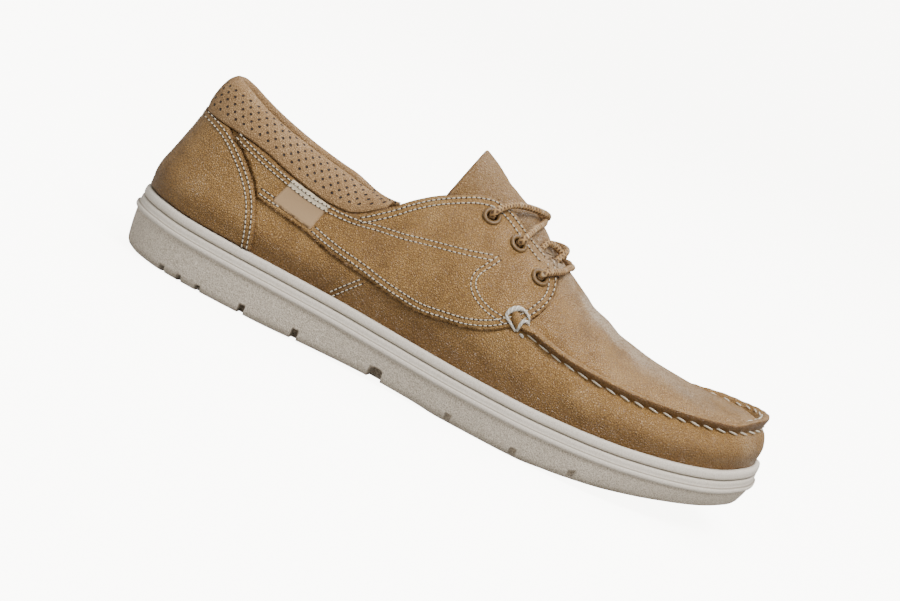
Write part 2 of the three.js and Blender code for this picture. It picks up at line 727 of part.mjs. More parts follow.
// Section of an eyelet, turned about the wall's normal: barrel through the wall, rolled head on the quarter
function eyeletGeometry({ point, normal }) {
  const seat = overlayTop + gap;
  const deep = -wall - eyeletReach;
  const ring = new THREE.LatheGeometry(
    [
      new THREE.Vector2(eyeletHole, deep),
      new THREE.Vector2(eyeletBarrel, deep),
      new THREE.Vector2(eyeletBarrel, seat),
      new THREE.Vector2(eyeletRadius, seat),
      new THREE.Vector2((eyeletRadius + eyeletBarrel) / 2, seat + eyeletHeight),
      new THREE.Vector2(eyeletHole, seat + eyeletHeight / 2),
      new THREE.Vector2(eyeletHole, deep),
    ],
    eyeletSides,
  );
  ring.applyQuaternion(turnTo(normal));
  ring.translate(point.x, point.y, point.z);
  return geometryOf(solidOf(ring));
}

// Overlays: skins of the same grid, cut to their outlines
function sideIndices(side, from, to) {
  return LOOP.map((_, i) => i).filter((i) => {
    const onSide = LOOP[i].side === side || i === 0 || i === tipIndex;
    return onSide && LOOP[i].at >= from && LOOP[i].at <= to;
  });
}

const overlayShell = (indices, seat, thickness) => skin(indices, 1, seat, seat + thickness, false);

function counterGeometry() {
  const medial = sideIndices("medial", STATIONS[1], counterReach);
  const lateral = sideIndices("lateral", 0, counterReach);
  const shell = overlayShell([...medial, ...lateral], gap, overlayWall);
  const low = COUNTER_EDGE[COUNTER_EDGE.length - 1].at;
  const foot = [...Array(footSteps + 1).keys()].map((i) => {
    const at = (low * i) / footSteps;
    return { x: at * length, z: rim(at) + overlayFoot };
  });
  const high = COUNTER_EDGE[0].height * collarHeight;
  const behind = [{ x: -behindHeel, z: high }, { x: -behindHeel, z: rim(0) + overlayFoot }];
  const edge = [...foot, ...edgeOf(COUNTER_EDGE).reverse().slice(1), ...behind];
  return geometryOf(shell.intersect(sidePrism(edge, -ballWidth, ballWidth)));
}

// A quarter starts at the counter's edge, above its own lower edge, and ends at the throat
function quarterGeometry(side) {
  const low = side === "lateral" ? -ballWidth : 0;
  const shell = overlayShell(sideIndices(side, quarterReach.from, quarterReach.to), gap, overlayWall);
  const rear = edgeOf(COUNTER_EDGE)
    .map(({ x, z }) => ({ x: x + counterGap, z: z + counterGap }))
    .filter(({ z }) => z > QUARTER_EDGE[0].height * collarHeight);
  const front = edgeOf(QUARTER_EDGE);
  const above = { x: rear[0].x, z: front[front.length - 1].z };
  let solid = shell.intersect(sidePrism([above, ...rear, ...front], low, low + ballWidth));
  for (const spot of eyeletSpots) if (spot.side === side) solid = solid.subtract(spot.drill);
  return geometryOf(solid);
}

function labelGeometry() {
  const ats = LABEL_EDGE.map((row) => row.at);
  const indices = sideIndices("lateral", Math.min(...ats) - labelReach, Math.max(...ats) + labelReach);
  const shell = overlayShell(indices, overlayTop + gap, labelThickness);
  return geometryOf(shell.intersect(sidePrism(edgeOf(LABEL_EDGE), -ballWidth, 0)));
}

// The raised moc seam follows the shoulder round the toe
function seamRidgeGeometry() {
  const run = LOOP.map((_, i) => i).filter((i) => LOOP[i].at > seamRidgeStart);
  const rings = run.map((i) => {
    const [low, mid, high] = [-1, 0, 1].map((step) => WALL[i][shoulderRow + step]);
    const normal = NORMALS[i][shoulderRow];
    const toward = (to) => mid.clone().add(to.clone().sub(mid).setLength(seamRidgeWidth / 2));
    const lift = (p, h) => p.clone().addScaledVector(normal, h);
    const [lower, upper] = [toward(low), toward(high)];
    return [
      lift(lower, seamRidgeShoulder * seamRidgeHeight),
      lift(mid, seamRidgeHeight),
      lift(upper, seamRidgeShoulder * seamRidgeHeight),
      lift(upper, seamRidgeSeat),
      lift(mid, seamRidgeSeat),
      lift(lower, seamRidgeSeat),
    ];
  });
  return loft(rings);
}

// The padded collar stands on the wall's top edge from one side of the throat round the heel
function collarGeometry() {
  const run = [...sideIndices("medial", STATIONS[1], collarEnd), ...sideIndices("lateral", 0, collarEnd)];
  const rings = run.map((i) => {
    const { at, side, sign } = LOOP[i];
    const seam = raised(i, rowCount - 1, 0);
    const x = collarTopAt(at) * length;
    const y = sign * collarReach[side](at) * ballWidth;
    const top = place(x, y, collarLine[side](at) * collarHeight);
    const up = top.clone().sub(seam);
    const tall = up.length();
    up.normalize();
    const face = NORMALS[i][rowCount - 1];
    const out = face.clone().addScaledVector(up, -face.dot(up)).normalize();
    const thick = collarThickness * Math.min(1, tall / collarFull);
    const foot = gap + collarSeat + wall * Math.max(0, -face.dot(up));
    return COLLAR_SECTION.map((row) =>
      seam
        .clone()
        .addScaledVector(up, foot + row.up * (tall - foot))
        .addScaledVector(out, row.out * thick),
    );
  });
  return loft(rings);
}

// Sole: rings from the rim down the side, a flat-lying underside and the hollow cup
function soleRings() {
  const level = (distance, height) => LOOP.map((spot) => {
    const flat = inset(spot, distance);
    return place(flat.x, flat.y, height(spot.at));
  });
  const side = SOLE_SIDE.map(({ inset: distance, drop }) => level(distance, (at) => rim(at) - drop));
  const foot = level(sidewallFoot.inset, (at) => under(at) + sidewallFoot.lift);
  const edge = level(sidewallEdge.inset, (at) => under(at) + sidewallEdge.lift);
  const cupFloor = level(rimInset, (at) => rim(at) - cupDepth);
  const cupRim = level(rimInset, rim);
  return [cupFloor, cupRim, ...side, foot, edge];
}

function soleGeometry() {
  let solid = ringSolid(soleRings());
  for (const slot of LUG_SLOTS) for (const side of ["lateral", "medial"]) solid = solid.subtract(slotSolid(slot, side));
  return geometryOf(solid);
}

function slotSolid({ at, width, height, round }, side) {
  const flat = flatPoint(at, side);
  const tall = height + slotBelow;
  const cutter = round
    ? new THREE.CylinderGeometry(width / 2, width / 2, 2 * slotReach, roundSlotSides)
    : new THREE.BoxGeometry(width, 2 * slotReach, tall);
  const spot = place(flat.x, flat.y, under(at) + height - (round ? width : tall) / 2);
  cutter.translate(spot.x, spot.y, spot.z);
  return solidOf(cutter);
}

// Insole: a thin bed inside the wall's hem, with a bevelled upper edge
function insoleGeometry() {
  const edge = rimInset + gap + wall + gap;
  const level = (distance, lift) => LOOP.map((spot) => {
    const flat = inset(spot, distance);
    return place(flat.x, flat.y, rim(spot.at) - cupDepth + gap + lift);
  });
  const rings = [
    level(edge + insoleBevel, insoleThickness),
    level(edge, insoleThickness - insoleBevel),
    level(edge, 0),
  ];
  return geometryOf(ringSolid(rings));
}

// Tongue: an arched sheet from under the vamp to above the throat
const tongue = Object.fromEntries(
  Object.keys(TONGUE[0])
    .filter((name) => name !== "at")
    .map((name) => [name, column(TONGUE, name)]),
);

const tongueCrest = (at) => topHeight(at) + tongue.above(at) * instepHeight;

// A point of the tongue at an angle from its crest, so far under its upper face
function tonguePoint(at, angle, depth) {
  const drop = 1 - Math.cos(angle);
  const y = tongue.centre(at) * ballWidth + (tongue.halfWidth(at) * ballWidth - depth) * Math.sin(angle);
  const fall = (tongue.fall(at) * instepHeight - depth) * drop;
  return place((at + tongue.rake(at) * drop) * length, y, tongueCrest(at) - depth - fall);
}

function tongueGeometry() {
  const [first, last] = [TONGUE[0].at, TONGUE[TONGUE.length - 1].at];
  const rings = [...Array(tongueSpans + 1).keys()].map((i) => {
    const at = THREE.MathUtils.lerp(first, last, i / tongueSpans);
    const arc = (depth) => [...Array(tongueArches + 1).keys()].map((j) => {
      const angle = THREE.MathUtils.lerp(-tongueSpread, tongueSpread, j / tongueArches);
      return tonguePoint(at, angle, depth);
    });
    return [...arc(0), ...arc(tongueThickness).reverse()];
  });
  return loft(rings);
}

// Lace: a round cord through chosen points, swept as a tube
function tube(points, diameter) {
  const path = new THREE.CatmullRomCurve3(points, false, "centripetal");
  const section = new THREE.Shape();
  section.absarc(0, 0, diameter / 2, 0, 2 * Math.PI, false);
  const sweep = { steps: cordSteps, curveSegments: cordSides / 2, bevelEnabled: false, extrudePath: path };
  return solidOf(new THREE.ExtrudeGeometry(section, sweep));
}

// Places a strand passes: over an eyelet, over the wall, over the throat's edge, on the tongue, over the crest
const laceLift = gap + laceDiameter / 2;

function overEyelet(side, row) {
  const { point, normal } = eyeletSpots.find((spot) => spot.side === side && spot.row === row);
  return point.clone().addScaledVector(normal, overlayTop + gap + eyeletHeight + laceLift + laceTilt);
}

function overWall(side, { at, below }, above) {
  const { point, normal } = surfaceAt(side, at, topHeight(at) - below * instepHeight);
  return point.clone().addScaledVector(normal, above + laceLift);
}

function overEdge(side, at) {
  const onSide = (i) => (side === "lateral" ? i < tipIndex : i >= tipIndex);
  const ahead = (i) => (i + 1) % LOOP.length;
  const i = LOOP.findIndex((spot, k) => onSide(k) && (spot.at - at) * (LOOP[ahead(k)].at - at) <= 0);
  const way = (at - LOOP[i].at) / (LOOP[ahead(i)].at - LOOP[i].at);
  const top = rowCount - 1;
  const above = overlayTop + gap + laceLift;
  return raised(i, top, above).lerp(raised(ahead(i), top, above), way);
}

const onTongue = (side, at) => tonguePoint(at, laceTuck * (side === "lateral" ? -1 : 1), -laceLift);
const onCrest = (at, z) => place(at * length, crestCentre * ballWidth, z);

function laceBar() {
  const half = (side) => [
    overEyelet(side, "3"),
    overWall(side, LACE_BAR.corner, overlayTop + laceTilt),
    overWall(side, LACE_BAR.vamp, 0),
  ];
  const crest = onCrest(LACE_BAR.crest, topHeight(LACE_BAR.crest) + laceLift);
  return tube([...half("lateral"), crest, ...half("medial").reverse()], laceDiameter);
}

// Two strands of a crossing, one over the other where they meet on the crest
function crossing(front, rear, { at, above }) {
  const high = tongueCrest(at) + above * instepHeight;
  const over = tube([...front("lateral"), onCrest(at, high), ...rear("medial")], laceDiameter);
  const beneath = tube([...front("medial"), onCrest(at, high - laceStack), ...rear("lateral")], laceDiameter);
  return over.add(beneath);
}

function frontCrossing() {
  const { front, rear, crest } = LACE_FRONT;
  return crossing((side) => [onTongue(side, front)], (side) => [onTongue(side, rear)], crest);
}

function rearCrossing() {
  const { front, rear, crest } = LACE_REAR;
  return crossing(
    (side) => [overEyelet(side, "2"), overEdge(side, front)],
    (side) => [overEdge(side, rear), overEyelet(side, "1")],
    crest,
  );
}

// Cord tie round the moc seam's rear end
function tieGeometry(side) {
  const points = TIE.map(({ at, height, lift }) => {
    const { point, normal } = surfaceAt(side, at, height * vampHeight);
    return point.clone().addScaledVector(normal, lift * tieDiameter);
  });
  return geometryOf(tube(points, tieDiameter));
}

// Materials
const leather = () => new THREE.MeshStandardMaterial({ color: 0xa9855a, roughness: 0.55, metalness: 0 });
const lining = () => new THREE.MeshStandardMaterial({ color: 0x9c7a52, roughness: 0.7, metalness: 0 });
const rubber = () => new THREE.MeshStandardMaterial({ color: 0xcfc8bd, roughness: 0.75, metalness: 0 });
const cord = () => new THREE.MeshStandardMaterial({ color: 0xb08c60, roughness: 0.8, metalness: 0 });
const whiteCord = () => new THREE.MeshStandardMaterial({ color: 0xe9e4da, roughness: 0.8, metalness: 0 });
const enamel = () => new THREE.MeshStandardMaterial({ color: 0x8a6a43, roughness: 0.4, metalness: 0.3 });

const shoe = new THREE.Group();
function piece(name, geometry, material) {
  const mesh = new THREE.Mesh(geometry, material);
  mesh.name = name;
  shoe.add(mesh);
}

piece("sole", soleGeometry(), rubber());
piece("insole", insoleGeometry(), lining());
piece("upper", upperGeometry(), leather());
piece("tongue", tongueGeometry(), leather());
piece("heel_counter", counterGeometry(), leather());
for (const side of ["lateral", "medial"]) piece(`quarter_${side}`, quarterGeometry(side), leather());
piece("collar", collarGeometry(), lining());
piece("moc_seam", seamRidgeGeometry(), leather());
piece("label", labelGeometry(), whiteCord());
for (const spot of eyeletSpots) piece(spot.name, eyeletGeometry(spot), enamel());
piece("lace_bar", geometryOf(laceBar()), cord());
piece("lace_cross_front", geometryOf(frontCrossing()), cord());
piece("lace_cross_rear", geometryOf(rearCrossing()), cord());
for (const side of ["lateral", "medial"]) piece(`seam_tie_${side}`, tieGeometry(side), whiteCord());

export default shoe;
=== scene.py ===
import math

import bpy
import numpy as np
from bpy.props import FloatProperty, FloatVectorProperty, IntProperty, PointerProperty
from mathutils import Matrix, Vector


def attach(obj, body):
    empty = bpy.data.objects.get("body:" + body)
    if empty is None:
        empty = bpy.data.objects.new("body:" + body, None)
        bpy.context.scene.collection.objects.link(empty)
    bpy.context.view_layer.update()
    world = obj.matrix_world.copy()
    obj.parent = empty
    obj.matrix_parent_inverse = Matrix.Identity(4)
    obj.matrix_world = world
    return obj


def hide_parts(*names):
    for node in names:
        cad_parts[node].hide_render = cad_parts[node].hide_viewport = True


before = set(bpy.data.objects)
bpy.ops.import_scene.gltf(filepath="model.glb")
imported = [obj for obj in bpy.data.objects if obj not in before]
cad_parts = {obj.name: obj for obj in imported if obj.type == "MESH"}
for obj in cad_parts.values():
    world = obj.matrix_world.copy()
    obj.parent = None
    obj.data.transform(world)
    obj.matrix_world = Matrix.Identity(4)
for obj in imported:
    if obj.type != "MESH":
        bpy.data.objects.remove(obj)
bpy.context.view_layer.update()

bl_info = {
    "name": "Boat shoe",
    "version": (1, 0, 0),
    "blender": (4, 5, 0),
    "location": "View3D > Sidebar > Boat shoe",
    "description": "Builds a leather boat shoe over its packed frame, piece by piece",
    "category": "Add Mesh",
}

# Sizes in millimetres: the frame's origin is the middle of the footprint, X runs from the heel's back
LENGTH = 292.0
BALL_WIDTH = 107.0
RIM_HEIGHT = 25.0
COLLAR_HEIGHT = 87.0
INSTEP_HEIGHT = 89.8
VAMP_HEIGHT = 54.0
WALL = 1.8
OVERLAY = 1.4
GAP = 0.3
RIM_INSET = 3.7
CUP_DEPTH = 12.0
COLLAR_THICKNESS = 9.0
COLLAR_FULL = 14.0
COLLAR_END = 0.343
THROAT_START = 0.354
THROAT_PEAK = 0.475
THROAT_END = 0.61
CREST_BLEND = 0.045
SHOULDER = 2.0
TOP = 4.0
LACE_DIAMETER = 3.0
EYELET_HOLE = 3.2
LABEL_THICKNESS = 0.8
TONGUE_THICKNESS = 2.6
TONGUE_SPAN = (0.43, 0.64)
TONGUE_TURN = 1.25
INSOLE_THICKNESS = 4.0
MEDIAL_DIP = 4.5
RIDGE_START = 0.589
ROWS_FROM_EDGE = (2.1, 4.3)


def table(names, *rows):
    """A table of hand-chosen rows as one array per named column."""
    data = np.array(rows, float)
    return {name: data[:, i] for i, name in enumerate(names.split())}


OUTLINE = table(
    "at lateral medial",
    (0, 0, 0), (0.01, 0.112, 0.112), (0.03, 0.192, 0.192), (0.07, 0.271, 0.271),
    (0.12, 0.322, 0.318), (0.18, 0.35, 0.341), (0.25, 0.364, 0.341), (0.33, 0.376, 0.324),
    (0.42, 0.4, 0.318), (0.5, 0.43, 0.338), (0.58, 0.467, 0.388), (0.65, 0.489, 0.439),
    (0.72, 0.489, 0.483), (0.79, 0.463, 0.505), (0.85, 0.411, 0.505), (0.9, 0.341, 0.481),
    (0.94, 0.262, 0.435), (0.97, 0.168, 0.364), (0.99, 0.061, 0.276), (1, -0.112, 0.112),
)
SOLE_LINES = table(
    "at under rim",
    (0, 0.05, 1.11), (0.05, 0.01, 1.07), (0.08, 0, 1.05), (0.12, 0, 1.04), (0.24, 0, 1.02),
    (0.34, 0.035, 0.99), (0.42, 0.055, 0.95), (0.49, 0.035, 0.915), (0.54, 0, 0.9), (0.6, 0, 0.895),
    (0.665, 0, 0.9), (0.71, 0.045, 0.92), (0.78, 0.135, 0.965), (0.85, 0.27, 1.045), (0.9, 0.385, 1.12),
    (0.95, 0.505, 1.23), (0.98, 0.585, 1.335), (1, 0.65, 1.43),
)
TOP_PLAN = table(
    "at top lateral medial",
    (0, 0.04, 0, 0), (0.01, 0.047, 0.09, 0.09), (0.03, 0.064, 0.152, 0.15), (0.07, 0.1, 0.211, 0.207),
    (0.12, 0.143, 0.248, 0.242), (0.18, 0.196, 0.27, 0.262), (0.25, 0.258, 0.283, 0.27), (0.3, 0.303, 0.285, 0.268),
    (0.34, 0.341, 0.271, 0.252), (0.38, 0.38, 0.24, 0.228), (0.43, 0.43, 0.19, 0.19), (0.48, 0.48, 0.158, 0.168),
    (0.53, 0.53, 0.14, 0.158), (0.56, 0.56, 0.125, 0.145), (0.58, 0.58, 0.1, 0.122), (0.597, 0.597, 0.055, 0.08),
    (0.61, 0.61, -0.018, 0.018),
)
CREST_PLAN = table(
    "at top medial",
    (0.61, 0.61, 0.018), (0.66, 0.657, 0.03), (0.75, 0.735, 0.056), (0.82, 0.785, 0.072), (0.9, 0.826, 0.084),
    (0.95, 0.848, 0.09), (1, 0.862, 0.094),
)
COLLAR_SEAM = table(
    "at height",
    (0.04, 0.78), (0.08, 0.772), (0.12, 0.766), (0.155, 0.748), (0.19, 0.716), (0.235, 0.684), (0.27, 0.669),
    (0.295, 0.67), (0.31, 0.69), (0.335, 0.75), (0.354, 0.803),
)
THROAT_REAR = table("at rise", (0.354, 0), (0.375, 0.279), (0.4, 0.541), (0.43, 0.766), (0.455, 0.929), (0.475, 1))
THROAT_FRONT = table(
    "at rise",
    (0.475, 1), (0.49, 0.972), (0.51, 0.842), (0.53, 0.63), (0.555, 0.366), (0.58, 0.136), (0.598, 0.063), (0.61, 0),
)
VAMP_CREST = table(
    "at height",
    (0.61, 1.393), (0.622, 1.359), (0.655, 1.258), (0.69, 1.163), (0.723, 1.094), (0.757, 1.04), (0.79, 1.003),
    (0.825, 0.976), (0.862, 0.966),
)
PROFILE = table(
    "at low_in low_up shoulder_in shoulder_up crown_in crown_up belly",
    (0, 0.25, 0.25, 0.5, 0.5, 0.77, 0.77, 0.018), (0.12, 0.25, 0.26, 0.5, 0.52, 0.77, 0.78, 0.022),
    (0.34, 0.2, 0.28, 0.42, 0.54, 0.72, 0.79, 0.03), (0.48, 0.05, 0.26, 0.15, 0.52, 0.5, 0.8, 0.026),
    (0.61, 0.01, 0.25, 0.12, 0.515, 0.485, 0.85, 0.006), (0.75, 0, 0.29, 0.14, 0.59, 0.547, 0.884, 0.005),
    (0.9, -0.005, 0.35, 0.16, 0.72, 0.5, 0.92, 0.003), (1, -0.005, 0.44, 0.125, 0.88, 0.5, 1, 0.002),
)
COLLAR_TOP = table(
    "at top lateral medial outer inner",
    (0, 0.054, 0, 0, 1, 1), (0.01, 0.06, 0.074, 0.072, 0.997, 0.995), (0.03, 0.075, 0.122, 0.118, 0.987, 0.978),
    (0.07, 0.108, 0.164, 0.158, 0.952, 0.932), (0.12, 0.15, 0.19, 0.181, 0.912, 0.884),
    (0.18, 0.2, 0.205, 0.193, 0.876, 0.842), (0.25, 0.262, 0.216, 0.202, 0.843, 0.806),
    (0.3, 0.307, 0.226, 0.21, 0.818, 0.792), (0.35, 0.353, 0.243, 0.226, 0.808, 0.808),
)
TONGUE = table(
    "at above half_width centre fall rake",
    (0.43, 0.2265, 0.178, 0, 0.37, -0.029), (0.456, 0.148, 0.183, 0.003, 0.37, -0.02),
    (0.487, 0.0725, 0.186, 0.006, 0.36, -0.007), (0.52, 0.0484, 0.183, 0.009, 0.34, 0),
    (0.566, 0.0345, 0.178, 0.012, 0.3, 0), (0.6, -0.025, 0.175, 0.016, 0.24, 0),
    (0.64, -0.045, 0.165, 0.02, 0.17, 0),
)
# Side of the sole: inset from the outline and drop below the rim, then inset and lift above the underside
SOLE_BAND = (
    (3.7, 0), (2.6, 0), (1.9, 0.25), (1.45, 0.75), (1.25, 1.5), (1.15, 2.6), (1.2, 3.4), (1.5, 3.8), (2.2, 4.1),
    (2.2, 4.4), (1.5, 4.7), (1.15, 5.1), (1.1, 6.2), (1.15, 7.1), (0.9, 7.5), (0.3, 7.75), (0, 8.2), (-0.1, 8.7),
    (0, 9.2), (0.3, 9.7), (1, 10), (1.35, 10.3),
)
SOLE_FOOT = ((3, 3), (3.4, 1.9), (4.1, 0.9), (5.1, 0.25), (6.5, 0))
# Slots of the sole's lower edge: place, width, height, depth and whether the top is round
LUG_SLOTS = (
    (24, 2.6, 2, 9, 0), (33, 2.6, 2, 9, 0), (42.6, 2.6, 2.2, 9, 0), (63.7, 3, 4.2, 11, 0),
    (88.5, 3.2, 4.8, 11, 0), (126.1, 6.4, 5.6, 12, 1), (161.2, 3, 3.6, 5.5, 0), (192.1, 3, 3.6, 5.5, 0),
    (218.1, 3, 4.4, 5.5, 0),
)
COLLAR_SECTION = (
    (0, 0.17), (0.15, 0.25), (0.3, 0.28), (0.5, 0.27), (0.68, 0.22), (0.82, 0.13), (0.92, 0), (0.985, -0.14),
    (1, -0.27), (0.975, -0.42), (0.88, -0.56), (0.72, -0.66), (0.5, -0.72), (0.25, -0.7), (0, -0.6),
)
# Edges in the side view, from the heel's back: place along the shoe and height
COUNTER_EDGE = (
    (0, 78), (17.5, 74.8), (29.2, 64.4), (35, 61.3), (40, 57.2), (45, 52.4), (49.6, 46.7), (53.1, 40.3),
    (55.5, 34.8), (57.5, 27), (58.4, 17.4),
)
QUARTER_LOW = (
    (49.6, 47), (63.9, 45), (73.9, 43.5), (83.5, 41.2), (93.4, 39.6), (103.1, 38.5), (112.7, 37), (122.6, 36),
    (132.3, 35.7), (141.9, 37.1), (151.8, 38.9), (161.5, 42.6), (168.5, 47.1), (172.9, 50.5), (176.1, 55),
    (178.7, 61.2), (178.9, 66.2), (176.7, 71.8), (173.5, 76), (171.7, 78.3),
)
LABEL_TURN = 52.0
LABEL_EDGE = ((60.2, 60.6), (79.1, 57.6), (75.9, 45.2), (56.2, 48.4))
SADDLE_TOP = (
    (30.6, 65.2), (37.7, 62.9), (44.2, 61.1), (51.4, 59.4), (57.5, 58), (66.9, 56.1), (75.1, 55.1), (83.7, 55),
    (91.6, 55.5), (101.5, 57.1), (111.9, 58.6), (122, 60.9), (138.3, 64.7), (148.6, 67.3),
)
SADDLE_FRONT = ((150.8, 69.9), (148.3, 65.6), (145.6, 60.5), (145.9, 56.3), (149.5, 52.1), (156.5, 48.9),
                (165.6, 47.6))
LOWER_SEAM = ((104.2, 37), (99.6, 31.9), (95.2, 26.6))
COUNTER_ROW = ((12, 70), (20.5, 68.6), (29.2, 65.2), *COUNTER_EDGE[3:-1])
# Section of the raised seam: how far down the wall and how high, for a full height of 1
RIDGE_SECTION = (
    (2.3, 0), (2.45, 0.35), (2.4, 0.72), (2.1, 0.94), (1.6, 1), (0.9, 0.99), (0.2, 0.93), (-0.5, 0.78), (-1, 0.52),
    (-1.35, 0.24), (-1.6, 0),
)
# Cord tie at the seam's rear end, strand by strand: place, height, lift off the leather and radius
TIE = (
    ((171.3, 47.1, 0.4, 0.5), (168, 48.7, 2, 0.6), (165.1, 50.7, 2.3, 0.7), (165.5, 52.7, 2.6, 1.1),
     (167.1, 54.3, 2.7, 1.25),
     (168.8, 55, 2.7, 1), (170.9, 54.9, 2.5, 0.6), (173.2, 53.8, 2.1, 0.55), (174.6, 52.6, 0.4, 0.5)),
    ((171.9, 47.3, 0.6, 0.5), (171.8, 49.2, 2.6, 0.75), (172.3, 50.9, 3.4, 0.8), (173.8, 51.4, 2.9, 0.7),
     (175.2, 51, 0.6, 0.5)),
    ((173.4, 46.9, 0.1, 0.4), (174.4, 46.7, 0.5, 0.6), (175.4, 46.2, 0.1, 0.4)),
)
# Leather end of the seam that the tie holds down, in the same terms
SEAM_END = ((172.2, 48.4, 1, 1.2), (170.4, 50.2, 1.9, 1.8), (168.6, 52, 2.1, 1.8), (167.3, 53.4, 1.5, 1.3))
EYELETS = ((0.483, 0.083), (0.533, 0.08), (0.582, 0.095))


# ---- numpy surfaces

def angle_at(at):
    """Angle round the outline of a share of the length, so that heel and toe round off evenly."""
    return np.arccos(1 - 2 * np.clip(at, 0, 1))


def hermite(a, b, slope_a, slope_b, h, t):
    """Cubic from a to b with the two slopes over a step h, at t from 0 to 1."""
    fall, rise = (1 - t) ** 2, t * t
    return a * (1 + 2 * t) * fall + slope_a * h * t * fall + b * rise * (3 - 2 * t) + slope_b * h * rise * (t - 1)


def column(tab, name):
    """Smooth curve through a table's column that never overshoots its rows, as cubic pieces over the angle."""
    xs, ys = angle_at(tab["at"]), tab[name]
    h = np.diff(xs)
    d = np.diff(ys) / h
    m = np.concatenate([d[:1], np.zeros(len(d) - 1), d[-1:]])
    same = d[:-1] * d[1:] > 0
    w1, w2 = 2 * h[1:] + h[:-1], h[1:] + 2 * h[:-1]
    with np.errstate(divide="ignore", invalid="ignore"):
        m[1:-1] = np.where(same, (w1 + w2) / (w1 / d[:-1] + w2 / d[1:]), 0)

    def curve(at):
        x = np.clip(angle_at(at), xs[0], xs[-1])
        i = np.clip(np.searchsorted(xs, x) - 1, 0, len(xs) - 2)
        return hermite(ys[i], ys[i + 1], m[i], m[i + 1], h[i], (x - xs[i]) / h[i])

    return curve


def columns(tab):
    """One smooth curve per column of a table."""
    return {name: column(tab, name) for name in tab if name != "at"}


outline, sole_lines, top_plan, crest_plan, profile, collar_top, tongue = (
    columns(t) for t in (OUTLINE, SOLE_LINES, TOP_PLAN, CREST_PLAN, PROFILE, COLLAR_TOP, TONGUE))
seam_line, crest_line = column(COLLAR_SEAM, "height"), column(VAMP_CREST, "height")
throat_rear, throat_front = column(THROAT_REAR, "rise"), column(THROAT_FRONT, "rise")
CENTRE_X = LENGTH / 2
CENTRE_Y = (OUTLINE["medial"].max() - OUTLINE["lateral"].max()) * BALL_WIDTH / 2


def smooth(x, low, high):
    """Soft step from 0 at low to 1 at high."""
    t = np.clip((x - low) / (high - low), 0, 1)
    return t * t * (3 - 2 * t)


def bell(x, middle, width):
    """Bell curve of height 1."""
    return np.exp(-(((x - middle) / width) ** 2))


def under(at):
    """Height of the sole's underside above the floor."""
    return sole_lines["under"](at) * RIM_HEIGHT


def rim(at):
    """Height of the sole's upper edge."""
    return sole_lines["rim"](at) * RIM_HEIGHT


def top_height(at):
    """Height of the upper's top line: collar seam, throat edge, vamp crest."""
    at = np.asarray(at, float)
    start = seam_line(THROAT_START) * COLLAR_HEIGHT
    crest = crest_line(THROAT_END) * VAMP_HEIGHT
    rear = start + (INSTEP_HEIGHT - start) * throat_rear(at)
    front = crest + (INSTEP_HEIGHT - crest) * throat_front(at)
    z = np.where(at < THROAT_PEAK, rear, front)
    z = np.where(at < THROAT_START, seam_line(at) * COLLAR_HEIGHT, z)
    return np.where(at >= THROAT_END, crest_line(at) * VAMP_HEIGHT, z)


def medial_dip(at):
    """How much lower the inner side's top line runs between the collar and the eyelets."""
    return MEDIAL_DIP * smooth(at, 0.25, 0.345) * (1 - smooth(at, 0.385, 0.46))


def share(theta):
    """Share of the length at an angle round the outline."""
    return (1 - np.cos(theta)) / 2


def is_lateral(theta):
    """Whether an angle lies on the outer side."""
    return np.mod(theta, 2 * np.pi) <= np.pi


def flat(theta):
    """Point of the sole's outline at an angle: heel 0, lateral side, toe at pi, medial side."""
    at = share(theta)
    y = np.where(is_lateral(theta), -outline["lateral"](at), outline["medial"](at)) * BALL_WIDTH
    return np.stack([at * LENGTH, y], -1)


def outward(theta):
    """Unit direction out of the outline."""
    along = flat(theta + 4e-3) - flat(theta - 4e-3)
    out = np.stack([along[..., 1], -along[..., 0]], -1)
    return out / np.linalg.norm(out, axis=-1, keepdims=True)


def inset(theta, distance):
    """Point of the outline moved in by a distance."""
    return flat(theta) - outward(theta) * np.asarray(distance)[..., None]


def spot(x, y, z):
    """Point of the frame from a place along the shoe, across it from the heel's centre line, and a height."""
    return np.stack(np.broadcast_arrays(np.asarray(x, float) - CENTRE_X, np.asarray(y, float) - CENTRE_Y, z), -1)


def guides(theta):
    """Five guide points of the wall above each place of the outline: rim, low, shoulder, crown, top."""
    at = share(theta)
    lateral = is_lateral(theta)
    foot = inset(theta, np.full(np.shape(theta), RIM_INSET + GAP))
    crest = at >= THROAT_END - 1e-9
    place = np.where(crest, crest_plan["top"](at), top_plan["top"](at))
    open_y = np.where(lateral, -top_plan["lateral"](at), top_plan["medial"](at))
    reach = np.where(crest, crest_plan["medial"](at), open_y)
    top = np.stack([place * LENGTH, reach * BALL_WIDTH], -1)
    foot_z, top_z = rim(at), top_height(place) - np.where(lateral, 0, medial_dip(place))
    out = outward(theta)
    belly = profile["belly"](at) * BALL_WIDTH
    rows = [(0 * at, 0 * at, 0 * at), (profile["low_in"](at), profile["low_up"](at), belly),
            (profile["shoulder_in"](at), profile["shoulder_up"](at), belly / 2),
            (profile["crown_in"](at), profile["crown_up"](at), 0 * at), (0 * at + 1, 0 * at + 1, 0 * at)]
    made = []
    for way, up, push in rows:
        p = foot + (top - foot) * way[..., None] + out * push[..., None]
        made.append(spot(p[..., 0], p[..., 1], foot_z + (top_z - foot_z) * up))
    return np.stack(made, -2)


